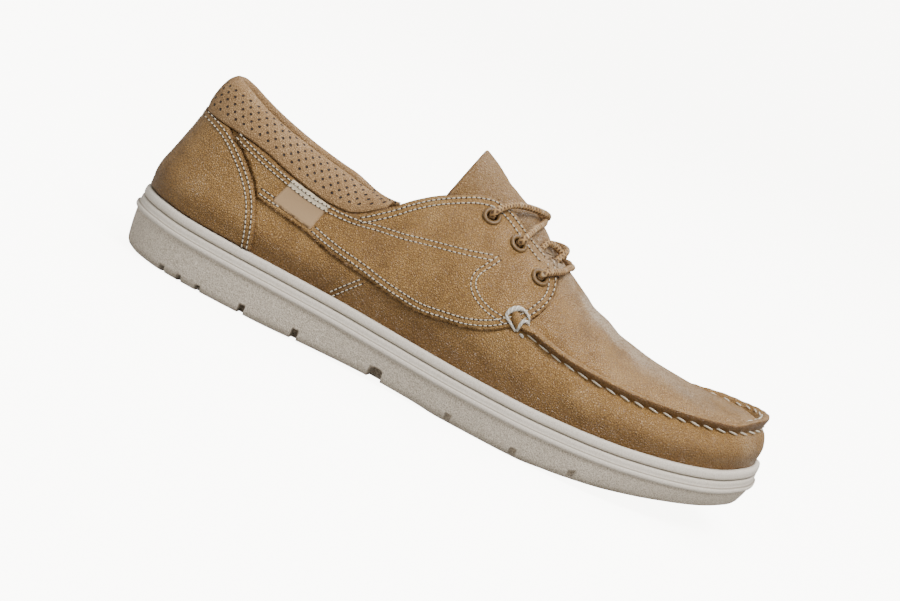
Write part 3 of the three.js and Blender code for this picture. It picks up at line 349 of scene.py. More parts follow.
def wall(theta, v):
    """Upper's outer surface: a centripetal spline through the five guides, v from 0 at the rim to 4 at the top
    line, and straight down into the cup below 0. Past the throat it runs on into the other side's crown, so
    that the vamp's crest is round."""
    theta, v = np.broadcast_arrays(np.asarray(theta, float), np.asarray(v, float))
    g = guides(theta)
    first = 2 * g[..., 0, :] - g[..., 1, :]
    last = 2 * g[..., 4, :] - g[..., 3, :]
    over = guides(-theta)[..., 3, :]
    w = smooth(share(theta), THROAT_END - CREST_BLEND, THROAT_END + CREST_BLEND)[..., None]
    last = last * (1 - w) + over * w
    g = np.concatenate([first[..., None, :], g, last[..., None, :]], -2)
    i = np.clip(np.floor(v), 0, 3).astype(int)
    t = (np.clip(v, 0, TOP) - i)[..., None]
    p0, p1, p2, p3 = (np.take_along_axis(g, (i + k)[..., None, None], -2)[..., 0, :] for k in range(4))
    d0, d1, d2 = (np.sqrt(np.linalg.norm(b - a, axis=-1, keepdims=True)) for a, b in ((p0, p1), (p1, p2), (p2, p3)))
    m1 = ((p1 - p0) / d0 - (p2 - p0) / (d0 + d1) + (p2 - p1) / d1) * d1
    m2 = ((p2 - p1) / d1 - (p3 - p1) / (d1 + d2) + (p3 - p2) / d2) * d1
    p = p1 + m1 * t + (3 * (p2 - p1) - 2 * m1 - m2) * t**2 + (2 * (p1 - p2) + m1 + m2) * t**3
    p[..., 2] += np.minimum(v, 0) * (CUP_DEPTH - GAP)
    return p


def distances(path):
    """Distance of each point of a path from its start, along it."""
    return np.concatenate([[0], np.cumsum(np.linalg.norm(np.diff(path, axis=0), axis=1))])


def unit(a):
    """Directions of length 1."""
    return a / np.maximum(np.linalg.norm(a, axis=-1, keepdims=True), 1e-12)


def wall_normal(theta, v):
    """Outward normal of the upper's surface."""
    e, f = 4e-3, 2e-2
    v = np.asarray(v, float)
    hi, lo = np.minimum(v + f, TOP), np.minimum(v + f, TOP) - 2 * f
    return unit(np.cross(wall(theta + e, v) - wall(theta - e, v), wall(theta, hi) - wall(theta, lo)))


def troughs(p, marks):
    """Sum of soft troughs and ridges in the side view. Each mark is a line between two places with a half width
    and a depth: the depth falls off as a bell over the distance from the line."""
    total = np.zeros(p.shape[:-1])
    x, z = p[..., 0] + CENTRE_X, p[..., 2]
    for x0, z0, x1, z1, width, depth in marks:
        dx, dz = x1 - x0, z1 - z0
        t = np.clip(((x - x0) * dx + (z - z0) * dz) / (dx * dx + dz * dz), 0, 1)
        away = np.hypot(x - x0 - t * dx, z - z0 - t * dz)
        total += depth * bell(away, 0, width)
    return total


def raised(theta, v, lift):
    """The upper's surface, moved out by a lift, with the creases of the leather."""
    p = wall(theta, v)
    return p + wall_normal(theta, v) * (np.asarray(lift) + creases(p))[..., None]


# Creases of the worn upper, seen from the side: from, to, half width, depth
CREASES = (
    (196.0, 66.0, 203.0, 50.0, 2.4, -0.5), (203.5, 63.0, 210.5, 49.0, 2.2, 0.35),
    (212.0, 58.5, 219.0, 47.5, 3.0, -0.5),
    (186.0, 44.0, 200.0, 29.0, 3.2, -0.5), (197.0, 43.0, 210.0, 29.0, 3.0, 0.4),
    (209.0, 43.0, 220.0, 28.0, 3.4, -0.45),
    (228.0, 42.0, 236.0, 28.0, 4.0, -0.35), (171.0, 44.0, 186.0, 27.0, 3.6, 0.4),
    (142.0, 36.0, 165.0, 29.0, 3.0, -0.5),
    (112.0, 33.0, 140.0, 29.0, 2.6, -0.35), (100.6, 40.0, 91.0, 25.0, 1.1, -0.6), (98.0, 40.0, 88.4, 25.0, 1.6, 0.35),
    (60.0, 39.0, 92.0, 34.0, 3.4, -0.45), (250.0, 50.0, 262.0, 46.0, 5.0, -0.3),
)


def creases(p):
    """Lift of the leather at a point: the creases by hand, and a slow unevenness as a product of two sine waves."""
    x, y, z = p[..., 0], p[..., 1], p[..., 2]
    slow = 0.16 * np.sin(x / 9.0 + z / 13.0) * np.sin(z / 7.0 - x / 21.0 + y / 15.0)
    return troughs(p, CREASES) + slow


def locate(x, z, lateral=True, steps=14):
    """Angle and v of the wall's point seen at a place and height from the side, by Newton steps."""
    x, z = np.asarray(x, float), np.asarray(z, float)
    sign = 1 if lateral else -1
    theta = sign * angle_at(x / LENGTH)
    v = np.full(x.shape, 2.5)
    for _ in range(steps):
        e = 1e-3
        p, pt, pv = wall(theta, v), wall(theta + e, v), wall(theta, np.where(v > 3.9, v - e, v + e))
        dv = np.where(v > 3.9, -e, e)
        a, b = (pt[..., 0] - p[..., 0]) / e, (pv[..., 0] - p[..., 0]) / dv
        c, d = (pt[..., 2] - p[..., 2]) / e, (pv[..., 2] - p[..., 2]) / dv
        rx, rz = x - CENTRE_X - p[..., 0], z - p[..., 2]
        det = a * d - b * c
        det = np.where(np.abs(det) < 1e-6, 1e-6, det)
        theta = theta + np.clip((rx * d - rz * b) / det, -0.15, 0.15)
        v = np.clip(v + np.clip((a * rz - c * rx) / det, -0.6, 0.6), 0, TOP)
        theta = sign * np.clip(sign * theta, 0.02, np.pi - 0.02)
    return theta, v


# ---- meshes

def build(name, verts, faces, uv=None, values=None):
    """Object from points in millimetres and arrays of faces of equal length, with loose points left out. uv is
    two numbers per point, and values are named numbers per point."""
    used = np.unique(np.concatenate([f.ravel() for f in faces]))
    where = np.full(len(verts), -1)
    where[used] = np.arange(len(used))
    verts = np.asarray(verts)[used]
    loops = np.concatenate([where[f].ravel() for f in faces]).astype(np.int32)
    sizes = np.concatenate([np.full(len(f), f.shape[1]) for f in faces])
    starts = np.concatenate([[0], np.cumsum(sizes)[:-1]]).astype(np.int32)
    mesh = bpy.data.meshes.new(name)
    mesh.vertices.add(len(verts))
    mesh.vertices.foreach_set("co", (verts * 0.001).astype(np.float32).ravel())
    mesh.loops.add(len(loops))
    mesh.loops.foreach_set("vertex_index", loops)
    mesh.polygons.add(len(starts))
    mesh.polygons.foreach_set("loop_start", starts)
    if uv is not None:
        layer = mesh.attributes.new("own_uv", "FLOAT2", "POINT")
        layer.data.foreach_set("vector", np.asarray(uv, np.float32)[used].ravel())
    for key, value in (values or {}).items():
        layer = mesh.attributes.new(key, "FLOAT", "POINT")
        layer.data.foreach_set("value", np.asarray(value, np.float32).ravel()[used])
    mesh.update(calc_edges=True)
    mesh.polygons.foreach_set("use_smooth", np.ones(len(starts), bool))
    mesh.validate()
    obj = bpy.data.objects.new(name, mesh)
    bpy.context.collection.objects.link(obj)
    return obj


def grid_ids(m, n, first=0):
    """Point numbers of a grid, row by row."""
    return first + np.arange(m * n).reshape(m, n)


def quads(ids, wrap=False, wrap_other=False):
    """Cells of an index grid as quads, joined round if asked."""
    if wrap:
        ids = np.concatenate([ids, ids[:1]], 0)
    if wrap_other:
        ids = np.concatenate([ids, ids[:, :1]], 1)
    return np.stack([ids[:-1, :-1], ids[1:, :-1], ids[1:, 1:], ids[:-1, 1:]], -1).reshape(-1, 4)


def shell(outer, inner, keep, wrap=False, sealed=None):
    """Closed skin between two grids over the kept cells: both faces, and a wall along every open edge. sealed
    marks the columns whose last row meets the mirrored column's, which need no wall there."""
    m, n = outer.shape[:2]
    out, ins = grid_ids(m, n), grid_ids(m, n, m * n)
    if sealed is not None:
        mirror = (m - np.arange(m)) % m
        take = np.where(sealed & (mirror < np.arange(m)), mirror, np.arange(m))
        out[:, -1], ins[:, -1] = out[take, -1], ins[take, -1]
    if wrap:
        out, ins = np.concatenate([out, out[:1]], 0), np.concatenate([ins, ins[:1]], 0)
    low, high = slice(0, -1), slice(1, None)
    corner = [(low, low), (high, low), (high, high), (low, high)]
    o, i = [out[c] for c in corner], [ins[c] for c in corner]
    faces = [np.stack([c[keep] for c in o], -1), np.stack([c[keep] for c in i[::-1]], -1)]
    pad = np.pad(keep, ((0, 0), (1, 1)))
    side = np.concatenate([keep[-1:], keep, keep[:1]], 0) if wrap else np.pad(keep, ((1, 1), (0, 0)))
    top_open = keep & ~pad[:, 2:]
    if sealed is not None:
        both = sealed & np.roll(sealed, -1)
        top_open[:, -1] &= ~both[: keep.shape[0]]
    edges = [(keep & ~pad[:, :-2], 0, 1), (keep & ~side[2:], 1, 2), (top_open, 2, 3), (keep & ~side[:-2], 3, 0)]
    for mask, a, b in edges:
        faces.append(np.stack([o[b][mask], o[a][mask], i[a][mask], i[b][mask]], -1))
    verts = np.concatenate([outer.reshape(-1, 3), inner.reshape(-1, 3)])
    return verts, [f for f in faces if len(f)]


def finish_piece(obj, slot, *nodes):
    """Puts a piece on the frame's one body and names its finish and the solids it stands for, if it has any."""
    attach(obj, "root")
    if nodes:
        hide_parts(*nodes)
    obj.data.materials.append(material(slot))


def polyline(points, spacing):
    """Smooth curve through rows of numbers, as cubic pieces, cut into even steps of about the spacing."""
    pts = np.array(points, float)
    t = np.concatenate([[0], np.cumsum(np.sqrt(np.linalg.norm(np.diff(pts, axis=0), axis=1)))])
    m = np.gradient(pts, t, axis=0)
    fine = np.linspace(0, t[-1], 40 * len(pts))
    i = np.clip(np.searchsorted(t, fine) - 1, 0, len(t) - 2)
    h = (t[i + 1] - t[i])[:, None]
    s = (fine - t[i])[:, None] / h
    c = hermite(pts[i], pts[i + 1], m[i], m[i + 1], h, s)
    run = distances(c)
    count = max(int(round(run[-1] / spacing)), 2)
    even = np.linspace(0, run[-1], count + 1)
    return np.stack([np.interp(even, run, c[:, k]) for k in range(c.shape[1])], -1)


def outline_distance(x, z, ring):
    """Signed distance in the side view to a closed outline, positive inside."""
    a, b = ring, np.roll(ring, -1, 0)
    best = np.full(x.shape, 1e9)
    inside = np.zeros(x.shape, bool)
    for (ax, az), (bx, bz) in zip(a, b):
        dx, dz = bx - ax, bz - az
        t = np.clip(((x - ax) * dx + (z - az) * dz) / max(dx * dx + dz * dz, 1e-9), 0, 1)
        best = np.minimum(best, (x - ax - t * dx) ** 2 + (z - az - t * dz) ** 2)
        cross = (az > z) != (bz > z)
        inside ^= cross & (x < ax + (z - az) * dx / (dz if abs(dz) > 1e-9 else 1e-9))
    return np.sqrt(best) * np.where(inside, 1, -1)


def side_distance(p, ring):
    """The same distance for points of the frame."""
    return outline_distance(p[..., 0] + CENTRE_X, p[..., 2], ring)


def drill_keep(p, centres, radius):
    """Cells of a grid that lie outside the holes."""
    mid = (p[:-1, :-1] + p[1:, 1:]) / 2
    keep = np.ones(mid.shape[:2], bool)
    for centre in centres:
        keep &= np.linalg.norm(mid - centre, axis=-1) > radius
    return keep


def eyelet_spots(lateral):
    """Centre and normal of each eyelet on the wall."""
    at = np.array([e[0] for e in EYELETS])
    z = top_height(at) - np.array([e[1] for e in EYELETS]) * INSTEP_HEIGHT
    theta, v = locate(at * LENGTH, z, lateral)
    return wall(theta, v), wall_normal(theta, v)


def edge_lift(distance, thickness):
    """Height of a cut leather edge over the distance from it: a quarter round, then level."""
    t = np.clip(distance / 0.9, 0, 1)
    return thickness * (0.35 + 0.65 * np.sqrt(np.clip(1 - (1 - t) ** 2, 0, 1)))


def overlay(theta, v, distance, base, thickness, centres=(), rows=()):
    """Piece of leather on the wall: a grid in angle and v whose cells are kept where the signed distance is
    positive. Points near the edge are moved onto it along the distance's slope, and cells that hang on by one
    side are left out. Stitch rows are pressed in."""
    for _ in range(3):
        p = wall(theta, v)
        d = distance(theta, v, p)
        cell = 0.62 * np.linalg.norm(np.gradient(p, axis=0), axis=-1)
        cell = np.maximum(cell, 0.62 * np.linalg.norm(np.gradient(p, axis=1), axis=-1))
        gt = (distance(theta + 1e-3, v, wall(theta + 1e-3, v)) - d) / 1e-3
        gv = (distance(theta, v - 1e-2, wall(theta, v - 1e-2)) - d) / -1e-2
        step = -d / np.maximum((gt * 0.01) ** 2 + (gv * 0.03) ** 2, 1e-4)
        near = np.abs(d) < cell * 1.18
        theta = theta + np.where(near, np.clip(step * gt * 1e-4, -0.03, 0.03), 0)
        v = v + np.where(near, np.clip(step * gv * 9e-4, -0.06, 0.06), 0)
        v = np.clip(v, 0, TOP)
    p = wall(theta, v)
    d = distance(theta, v, p)
    good = d > -0.15
    keep = good[:-1, :-1] & good[1:, :-1] & good[1:, 1:] & good[:-1, 1:]
    for _ in range(2):
        pad = np.pad(keep, 1).astype(int)
        keep &= pad[:-2, 1:-1] + pad[2:, 1:-1] + pad[1:-1, :-2] + pad[1:-1, 2:] > 1
    keep &= drill_keep(p, centres, EYELET_HOLE)
    lift = edge_lift(np.maximum(d, 0), thickness)
    for row in rows:
        lift = lift - 0.22 * bell(d, row, 0.8)
    outer, inner = raised(theta, v, base + lift), raised(theta, v, base - 0.25)
    verts, faces = shell(outer, inner, keep)
    return verts, faces, np.concatenate([d.ravel(), d.ravel()])


def sweep(path, radius, sides):
    """Tube round a path of points with closed ends and a frame carried along it; radius may be a number per
    point. Returns its points, faces and own length and turn per point."""
    path = np.asarray(path, float)
    along = unit(np.gradient(path, axis=0))
    side = np.zeros_like(path)
    side[0] = unit(np.cross(along[0], [0.3, 0.2, 1.0]))
    for k in range(1, len(path)):
        side[k] = unit(side[k - 1] - along[k] * np.dot(side[k - 1], along[k]))
    other = np.cross(along, side)
    angle = np.linspace(0, 2 * np.pi, sides, endpoint=False)
    ring = np.cos(angle)[None, :, None] * side[:, None] + np.sin(angle)[None, :, None] * other[:, None]
    r = np.broadcast_to(np.asarray(radius, float), (len(path),))[:, None, None]
    verts = (path[:, None] + ring * r).reshape(-1, 3)
    ids = grid_ids(len(path), sides)
    verts = np.concatenate([verts, path[:1], path[-1:]])
    a, b = np.full(sides, len(verts) - 2), np.full(sides, len(verts) - 1)
    faces = [quads(ids, wrap_other=True)[:, ::-1],
             np.stack([a, np.roll(ids[0], -1), ids[0]], -1), np.stack([b, ids[-1], np.roll(ids[-1], -1)], -1)]
    run = distances(path)
    uv = np.stack(np.broadcast_arrays(run[:, None], angle[None] / (2 * np.pi)), -1).reshape(-1, 2)
    return verts, faces, np.concatenate([uv, [[0, 0], [run[-1], 0]]])


def join(parts):
    """One set of points and faces from several."""
    verts, faces, first = [], [], 0
    for v, f in parts:
        verts.append(v)
        faces += [g + first for g in f]
        first += len(v)
    return np.concatenate(verts), faces


def threads(centres, along, up, length, width, height):
    """Stitches: one small ellipsoid each, along the seam, with its middle on the leather."""
    rings, sides = 7, 8
    lat = np.linspace(0, np.pi, rings)[1:-1]
    lon = np.linspace(0, 2 * np.pi, sides, endpoint=False)
    side = np.cross(up, along)
    ball = ((along, np.cos(lat)[:, None] + 0 * lon, length / 2),
            (side, np.sin(lat)[:, None] * np.cos(lon), width / 2),
            (up, np.sin(lat)[:, None] * np.sin(lon), height))
    body = centres[:, None, None] + sum(way[:, None, None] * part[None, ..., None] * size for way, part, size in ball)
    ends = np.stack([centres + along * length / 2, centres - along * length / 2], 1)
    per = (rings - 2) * sides + 2
    verts = np.concatenate([body.reshape(len(centres), -1, 3), ends], 1).reshape(-1, 3)
    ids = grid_ids(rings - 2, sides)
    q = quads(ids, wrap_other=True)
    t = np.concatenate([np.stack([np.full(sides, per - 2), ids[0], np.roll(ids[0], -1)], -1),
                        np.stack([np.full(sides, per - 1), np.roll(ids[-1], -1), ids[-1]], -1)])
    shift = (np.arange(len(centres)) * per)[:, None, None]
    return verts, [(q[None] + shift).reshape(-1, 4), (t[None] + shift).reshape(-1, 3)]


def seam(points, pitch, lift, lateral=True, offset=0.0, holes=False):
    """A row of stitches along a side-view line, the given lift above the wall, or of the dark holes between them.
    Rows over the label lie on it, and the others stop at it."""
    line = polyline(points, pitch / 4)
    if offset:
        t = unit(np.gradient(line, axis=0))
        line = line + np.stack([-t[:, 1], t[:, 0]], -1) * offset
    on_label = (outline_distance(line[:, 0], line[:, 1], np.array(LABEL_EDGE)) > -0.3) & lateral
    high = line[:, 1] > LABEL_TURN
    theta, v = locate(line[:, 0], line[:, 1], lateral)
    p = raised(theta, v, lift + 0.8 * (on_label & high))
    n = wall_normal(theta, v)
    used = np.arange(0 if holes else 2, len(line), 4)
    used = used[~(on_label & ~high)[used]]
    p, n, along = p[used], n[used], unit(np.gradient(p, axis=0))[used]
    up = unit(n - along * np.sum(n * along, -1, keepdims=True))
    # Needle holes: small dark marks sunk a little into the leather, painted shade where the thread goes in.
    if holes:
        return threads(p - up * 0.12, along, up, pitch * 0.42, 0.8, 0.3)
    return threads(p, along, up, pitch * 0.76, 0.58, 0.38)


# ---- materials

def rgb(r, g, b):
    """Linear colour of an sRGB colour in 0 to 255."""
    c = [x / 255 for x in (r, g, b)]
    return tuple(x / 12.92 if x < 0.04045 else ((x + 0.055) / 1.055) ** 2.4 for x in c) + (1.0,)


class Net:
    """Short names for making nodes and links in one tree."""

    def __init__(self, tree):
        self.tree = tree

    def put(self, socket, value):
        if isinstance(value, bpy.types.NodeSocket):
            self.tree.links.new(value, socket)
        elif value is not None:
            socket.default_value = value

    def node(self, kind, inputs=None, **props):
        made = self.tree.nodes.new(kind)
        for key, value in props.items():
            setattr(made, key, value)
        for key, value in (inputs or {}).items():
            self.put(made.inputs[key], value)
        return made

    def math(self, operation, a, b=None):
        made = self.node("ShaderNodeMath", operation=operation)
        for k, value in enumerate((a, b)):
            self.put(made.inputs[k], value)
        return made.outputs[0]

    def times(self, a, b):
        return self.math("MULTIPLY", a, b)

    def ramp(self, value, low, high, to_low=0.0, to_high=1.0):
        made = self.node("ShaderNodeMapRange", {0: value, 1: low, 2: high, 3: to_low, 4: to_high},
                         interpolation_type="SMOOTHSTEP")
        return made.outputs[0]

    def noise(self, vector, scale, detail=3.0, rough=0.55):
        return self.node("ShaderNodeTexNoise", {"Vector": vector, "Scale": scale, "Detail": detail,
                                                "Roughness": rough}).outputs["Fac"]

    def mix(self, factor, a, b, blend="MIX"):
        made = self.node("ShaderNodeMix", data_type="RGBA", blend_type=blend)
        self.put(made.inputs[0], factor)
        self.put(made.inputs[6], a)
        self.put(made.inputs[7], b)
        return made.outputs[2]

    def tint(self, colour, mask, amount, other):
        """Colour mixed with another one by an amount of a mask."""
        return self.mix(self.times(mask, amount), colour, other)

    def attribute(self, name, output="Fac"):
        return self.node("ShaderNodeAttribute", attribute_name=name).outputs[output]

    def apart(self, vector):
        """Outputs X, Y and Z of a vector."""
        return self.node("ShaderNodeSeparateXYZ", {0: vector}).outputs

    def dress(self, shader, colour, rough, height, strength, depth):
        """Sets a shader's colour and roughness, and its normal from a height."""
        self.put(shader.inputs["Base Color"], colour)
        self.put(shader.inputs["Roughness"], rough)
        lift = self.node("ShaderNodeBump", {"Height": height, "Strength": strength, "Distance": depth})
        self.put(shader.inputs["Normal"], lift.outputs[0])


def group(name, inputs, outputs, fill):
    """A shared node group, made once: named float or vector inputs and outputs, filled by a function."""
    found = bpy.data.node_groups.get(name)
    if found:
        return found
    tree = bpy.data.node_groups.new(name, "ShaderNodeTree")
    for label, kind in inputs:
        tree.interface.new_socket(label, in_out="INPUT", socket_type=kind)
    for label, kind in outputs:
        tree.interface.new_socket(label, in_out="OUTPUT", socket_type=kind)
    net = Net(tree)
    source, sink = net.node("NodeGroupInput"), net.node("NodeGroupOutput")
    for label, value in fill(net, source.outputs).items():
        net.put(sink.inputs[label], value)
    return tree


def grain_group():
    """Grain of leather: pebbles between fine creases, pores, and a slow change of tone."""

    def fill(net, given):
        bent = net.node("ShaderNodeTexNoise", {"Vector": given["Vector"], "Scale": 180.0,
                                               "Detail": 2.0}).outputs["Color"]
        warp = net.node("ShaderNodeVectorMath", {0: bent, 1: (0.0022, 0.0022, 0.0022)}, operation="MULTIPLY")
        moved = net.node("ShaderNodeVectorMath", {0: given["Vector"], 1: warp.outputs[0]}, operation="ADD").outputs[0]
        cells = net.node("ShaderNodeTexVoronoi", {"Vector": moved, "Scale": given["Scale"]},
                         feature="DISTANCE_TO_EDGE").outputs["Distance"]
        pebble = net.ramp(cells, 0.0, 0.28)
        drawn = net.node("ShaderNodeMapping", {"Vector": given["Vector"], "Scale": (1.0, 1.0, 2.0)}).outputs[0]
        fine = net.noise(drawn, 1100.0, 4.0, 0.7)
        height = net.math("ADD", net.times(pebble, 0.7), net.times(fine, 0.3))
        slow = net.noise(given["Vector"], 24.0, 5.0, 0.6)
        blotch = net.noise(given["Vector"], 95.0, 4.0, 0.65)
        tone = net.math("ADD", net.times(slow, 0.62), net.times(blotch, 0.38))
        return {"Height": height, "Tone": tone, "Pores": net.math("SUBTRACT", 1.0, pebble),
                "Fine": net.noise(drawn, 1250.0, 4.0, 0.65)}

    return group("Leather grain", [("Vector", "NodeSocketVector"), ("Scale", "NodeSocketFloat")],
                 [("Height", "NodeSocketFloat"), ("Tone", "NodeSocketFloat"), ("Pores", "NodeSocketFloat"),
                  ("Fine", "NodeSocketFloat")], fill)


def dust_group():
    """Dust and small scuffs: thin streaks and specks as one mask."""

    def fill(net, given):
        flat_way = net.node("ShaderNodeMapping", {"Vector": given["Vector"], "Scale": (1.0, 1.0, 3.2)}).outputs[0]
        streak = net.ramp(net.noise(flat_way, 260.0, 6.0, 0.72), 0.6, 0.74)
        speck = net.ramp(net.noise(given["Vector"], 900.0, 2.0, 0.5), 0.66, 0.74)
        patch = net.ramp(net.noise(given["Vector"], 40.0, 3.0, 0.6), 0.45, 0.7)
        both = net.math("MAXIMUM", net.times(streak, 0.7), speck)
        return {"Mask": net.times(both, patch)}

    return group("Dust", [("Vector", "NodeSocketVector")], [("Mask", "NodeSocketFloat")], fill)


def new_material(name):
    """A new material with its node helper, its shader and the object's own coordinates."""
    made = bpy.data.materials.new(name)
    made.use_nodes = True
    net = Net(made.node_tree)
    shader = made.node_tree.nodes["Principled BSDF"]
    where = net.node("ShaderNodeTexCoord").outputs["Object"]
    return made, net, shader, where


def leather(name, dark, mid, light, rough=0.38, scale=1050.0, bump=0.7, edge=False, sheen_from=None):
    """Oiled leather: tone between three colours, darker pores, lighter scuffs, and a cut edge by its attribute."""
    made, net, shader, where = new_material(name)
    grain = net.node("ShaderNodeGroup", {"Vector": where, "Scale": scale}, node_tree=grain_group())
    grain_in = grain.outputs
    low = net.mix(net.ramp(grain_in["Tone"], 0.14, 0.52), dark, mid)
    tone = net.mix(net.times(net.ramp(grain_in["Tone"], 0.44, 0.86), 0.8), low, light)
    colour = net.mix(net.times(net.ramp(grain_in["Pores"], 0.4, 1.0), 0.5), tone, dark)
    colour = net.tint(colour, net.ramp(grain_in["Fine"], 0.5, 0.66), 0.55, dark)
    colour = net.tint(colour, net.ramp(grain_in["Fine"], 0.32, 0.48, 1.0, 0.0), 0.45, light)
    dust = net.node("ShaderNodeGroup", {"Vector": where}, node_tree=dust_group()).outputs["Mask"]
    colour = net.tint(colour, dust, 0.22, rgb(226, 204, 172))
    # Painted shade: darker where the shade attribute is high, which is low on the upper and counter and on the
    # tongue's sides.
    colour = net.tint(colour, net.attribute("shade"), 0.62, dark)
    # Painted highlight: a pale speckled sheen along the vamp's crest, where the light catches it.
    if sheen_from:
        split = net.apart(where)
        near = net.ramp(net.math("ABSOLUTE", split["Y"]), *sheen_from["y"])
        long_way = net.times(net.ramp(split["X"], *sheen_from["rear"]), net.ramp(split["X"], *sheen_from["front"]))
        speck = net.times(net.ramp(net.noise(where, 45.0, 4.0), 0.3, 0.58), net.ramp(grain_in["Fine"], 0.62, 0.42))
        colour = net.mix(net.times(net.times(near, long_way), speck), colour, sheen_from["colour"])
    # Darker along cut edges: partly the edge's own colour, partly a painted shadow line at the step of each piece.
    if edge:
        edge_and_shadow_mask = net.ramp(net.attribute("edge"), 0.15, 0.85, 1.0, 0.0)
        colour = net.mix(net.times(edge_and_shadow_mask, 0.6), colour, rgb(84, 56, 30))
    net.put(shader.inputs["Specular IOR Level"], 0.4)
    net.dress(shader, colour, net.ramp(grain_in["Tone"], 0.3, 0.7, rough + 0.08, rough - 0.08), grain_in["Height"],
              bump, 0.0007)
    return made


def perforated(name):
    """Soft collar leather with staggered rows of small holes on its outer face, laid out in its own millimetres."""
    made = leather(name, rgb(104, 76, 44), rgb(162, 125, 81), rgb(200, 166, 122), rough=0.58, bump=0.7)
    net = Net(made.node_tree)
    shader = made.node_tree.nodes["Principled BSDF"]
    own = net.attribute("own_uv", "Vector")
    split = net.apart(own)
    u, v = split["X"], split["Y"]
    settings = bpy.context.scene.boat_shoe
    pitch, rows = settings.hole_pitch, settings.hole_pitch * 0.62
    line = net.math("DIVIDE", v, rows)
    odd = net.times(net.math("MODULO", net.math("FLOOR", line), 2.0), 0.5)

    def from_middle(value, size):
        """Distance from the middle of the cell that a value lies in."""
        return net.times(net.math("SUBTRACT", net.math("FRACT", value), 0.5), size)

    across, up = from_middle(net.math("ADD", net.math("DIVIDE", u, pitch), odd), pitch), from_middle(line, rows)
    away = net.math("SQRT", net.math("ADD", net.times(across, across), net.times(up, up)))
    # Painted shade: each hole is a near-black disc standing in for the shade inside it, pressed in by the bump.
    hole = net.ramp(away, 0.5, 0.72, 1.0, 0.0)
    band = net.times(net.ramp(v, 1.9, 2.1), net.ramp(v, 15.2, 15.4, 1.0, 0.0))
    hole = net.times(hole, band)
    old = shader.inputs["Base Color"].links[0].from_socket
    net.put(shader.inputs["Base Color"], net.mix(net.times(hole, 0.95), old, rgb(26, 16, 9)))
    bump = net.node("ShaderNodeBump", {"Height": net.math("SUBTRACT", 1.0, hole), "Strength": 0.9, "Distance": 0.0006,
                                       "Normal": shader.inputs["Normal"].links[0].from_socket})
    net.put(shader.inputs["Normal"], bump.outputs[0])
    return made


def rubber(name):
    """Pale rubber: a smooth upper band, a grained side wall, dirt in the grooves and along the lower edge."""
    made, net, shader, where = new_material(name)
    drop = net.attribute("drop")
    side = net.ramp(drop, 9.8, 10.6)
    grain = net.noise(where, 1900.0, 4.0, 0.7)
    coarse = net.noise(where, 620.0, 3.0, 0.6)
    slow = net.noise(where, 30.0, 4.0, 0.6)
    band = net.mix(net.ramp(grain, 0.3, 0.7), rgb(198, 187, 171), rgb(226, 218, 205))
    wall_tone = net.mix(net.ramp(grain, 0.35, 0.65), rgb(180, 166, 146), rgb(238, 226, 208))
    colour = net.mix(side, band, wall_tone)

    def line(middle, low, high):
        """1 along a line at a drop below the rim."""
        return net.ramp(net.math("ABSOLUTE", net.math("SUBTRACT", drop, middle)), low, high, 1.0, 0.0)

    # Painted shade along the two grooves of the side wall.
    groove_shade = net.math("MAXIMUM", line(4.25, 0.15, 0.5), line(7.55, 0.1, 0.35))
    colour = net.tint(colour, groove_shade, 0.7, rgb(104, 92, 76))
    low = net.ramp(net.attribute("low"), 0.0, 4.5, 1.0, 0.0)
    dirt = net.times(low, net.ramp(slow, 0.3, 0.65))
    colour = net.tint(colour, dirt, 0.5, rgb(138, 122, 102))
    dust = net.node("ShaderNodeGroup", {"Vector": where}, node_tree=dust_group()).outputs["Mask"]
    colour = net.tint(colour, dust, 0.35, rgb(120, 104, 84))
    height = net.math("ADD", net.times(net.times(net.math("ADD", grain, coarse), side), 0.8), net.times(grain, 0.12))
    net.dress(shader, colour, 0.72, height, 0.9, 0.0007)
    return made


STRAND_PITCH = 1.9


def cord(name, dark, light, fleck, twist=0.0):
    """Braided or twisted cord: crossing strands in its own length and angle."""
    made, net, shader, _ = new_material(name)
    own = net.attribute("own_uv", "Vector")
    split = net.apart(own)
    s, a = net.math("DIVIDE", split["X"], STRAND_PITCH), net.times(split["Y"], 3.0)
    first = net.math("SINE", net.times(net.math("ADD", s, a), 2 * math.pi))
    second = net.math("SINE", net.times(net.math("SUBTRACT", s, a), 2 * math.pi))
    braid = net.math("MAXIMUM", first, net.times(second, 1.0 - twist))
    height = net.ramp(braid, -0.3, 0.9)
    noise = net.noise(own, 1.4, 3.0)
    # Painted shade: darker where the strands dip, lighter on their tops.
    colour = net.mix(height, dark, light)
    colour = net.tint(colour, net.ramp(noise, 0.56, 0.64), 0.7, fleck)
    net.dress(shader, colour, 0.72, height, 0.8, 0.0005)
    return made


def plain(name, colour, rough=0.6, metal=0.0, grain=400.0, bump=0.2):
    """Plain finish with a fine unevenness."""
    made, net, shader, where = new_material(name)
    noise = net.noise(where, grain, 4.0)
    dark = tuple(c * 0.72 for c in colour[:3]) + (1.0,)
    net.put(shader.inputs["Metallic"], metal)
    net.dress(shader, net.mix(net.ramp(noise, 0.35, 0.65), dark, colour), rough, noise, bump, 0.0003)
    return made


def label_cloth(name):
    """Small woven label: a cream strip along its top, tan below, with a fine weave."""
    made, net, shader, where = new_material(name)
    strip = net.ramp(net.attribute("below"), 2.6, 2.9)
    colour = net.mix(strip, rgb(204, 190, 164), rgb(164, 134, 98))
    weave = net.node("ShaderNodeTexWave", {"Vector": where, "Scale": 900.0, "Distortion": 1.0}).outputs["Fac"]
    colour = net.tint(colour, weave, 0.16, rgb(110, 84, 56))
    net.dress(shader, colour, 0.75, weave, 0.35, 0.0002)
    return made


def chosen(*names):
    """Colours picked in the panel."""
    return [tuple(getattr(bpy.context.scene.boat_shoe, name)) for name in names]
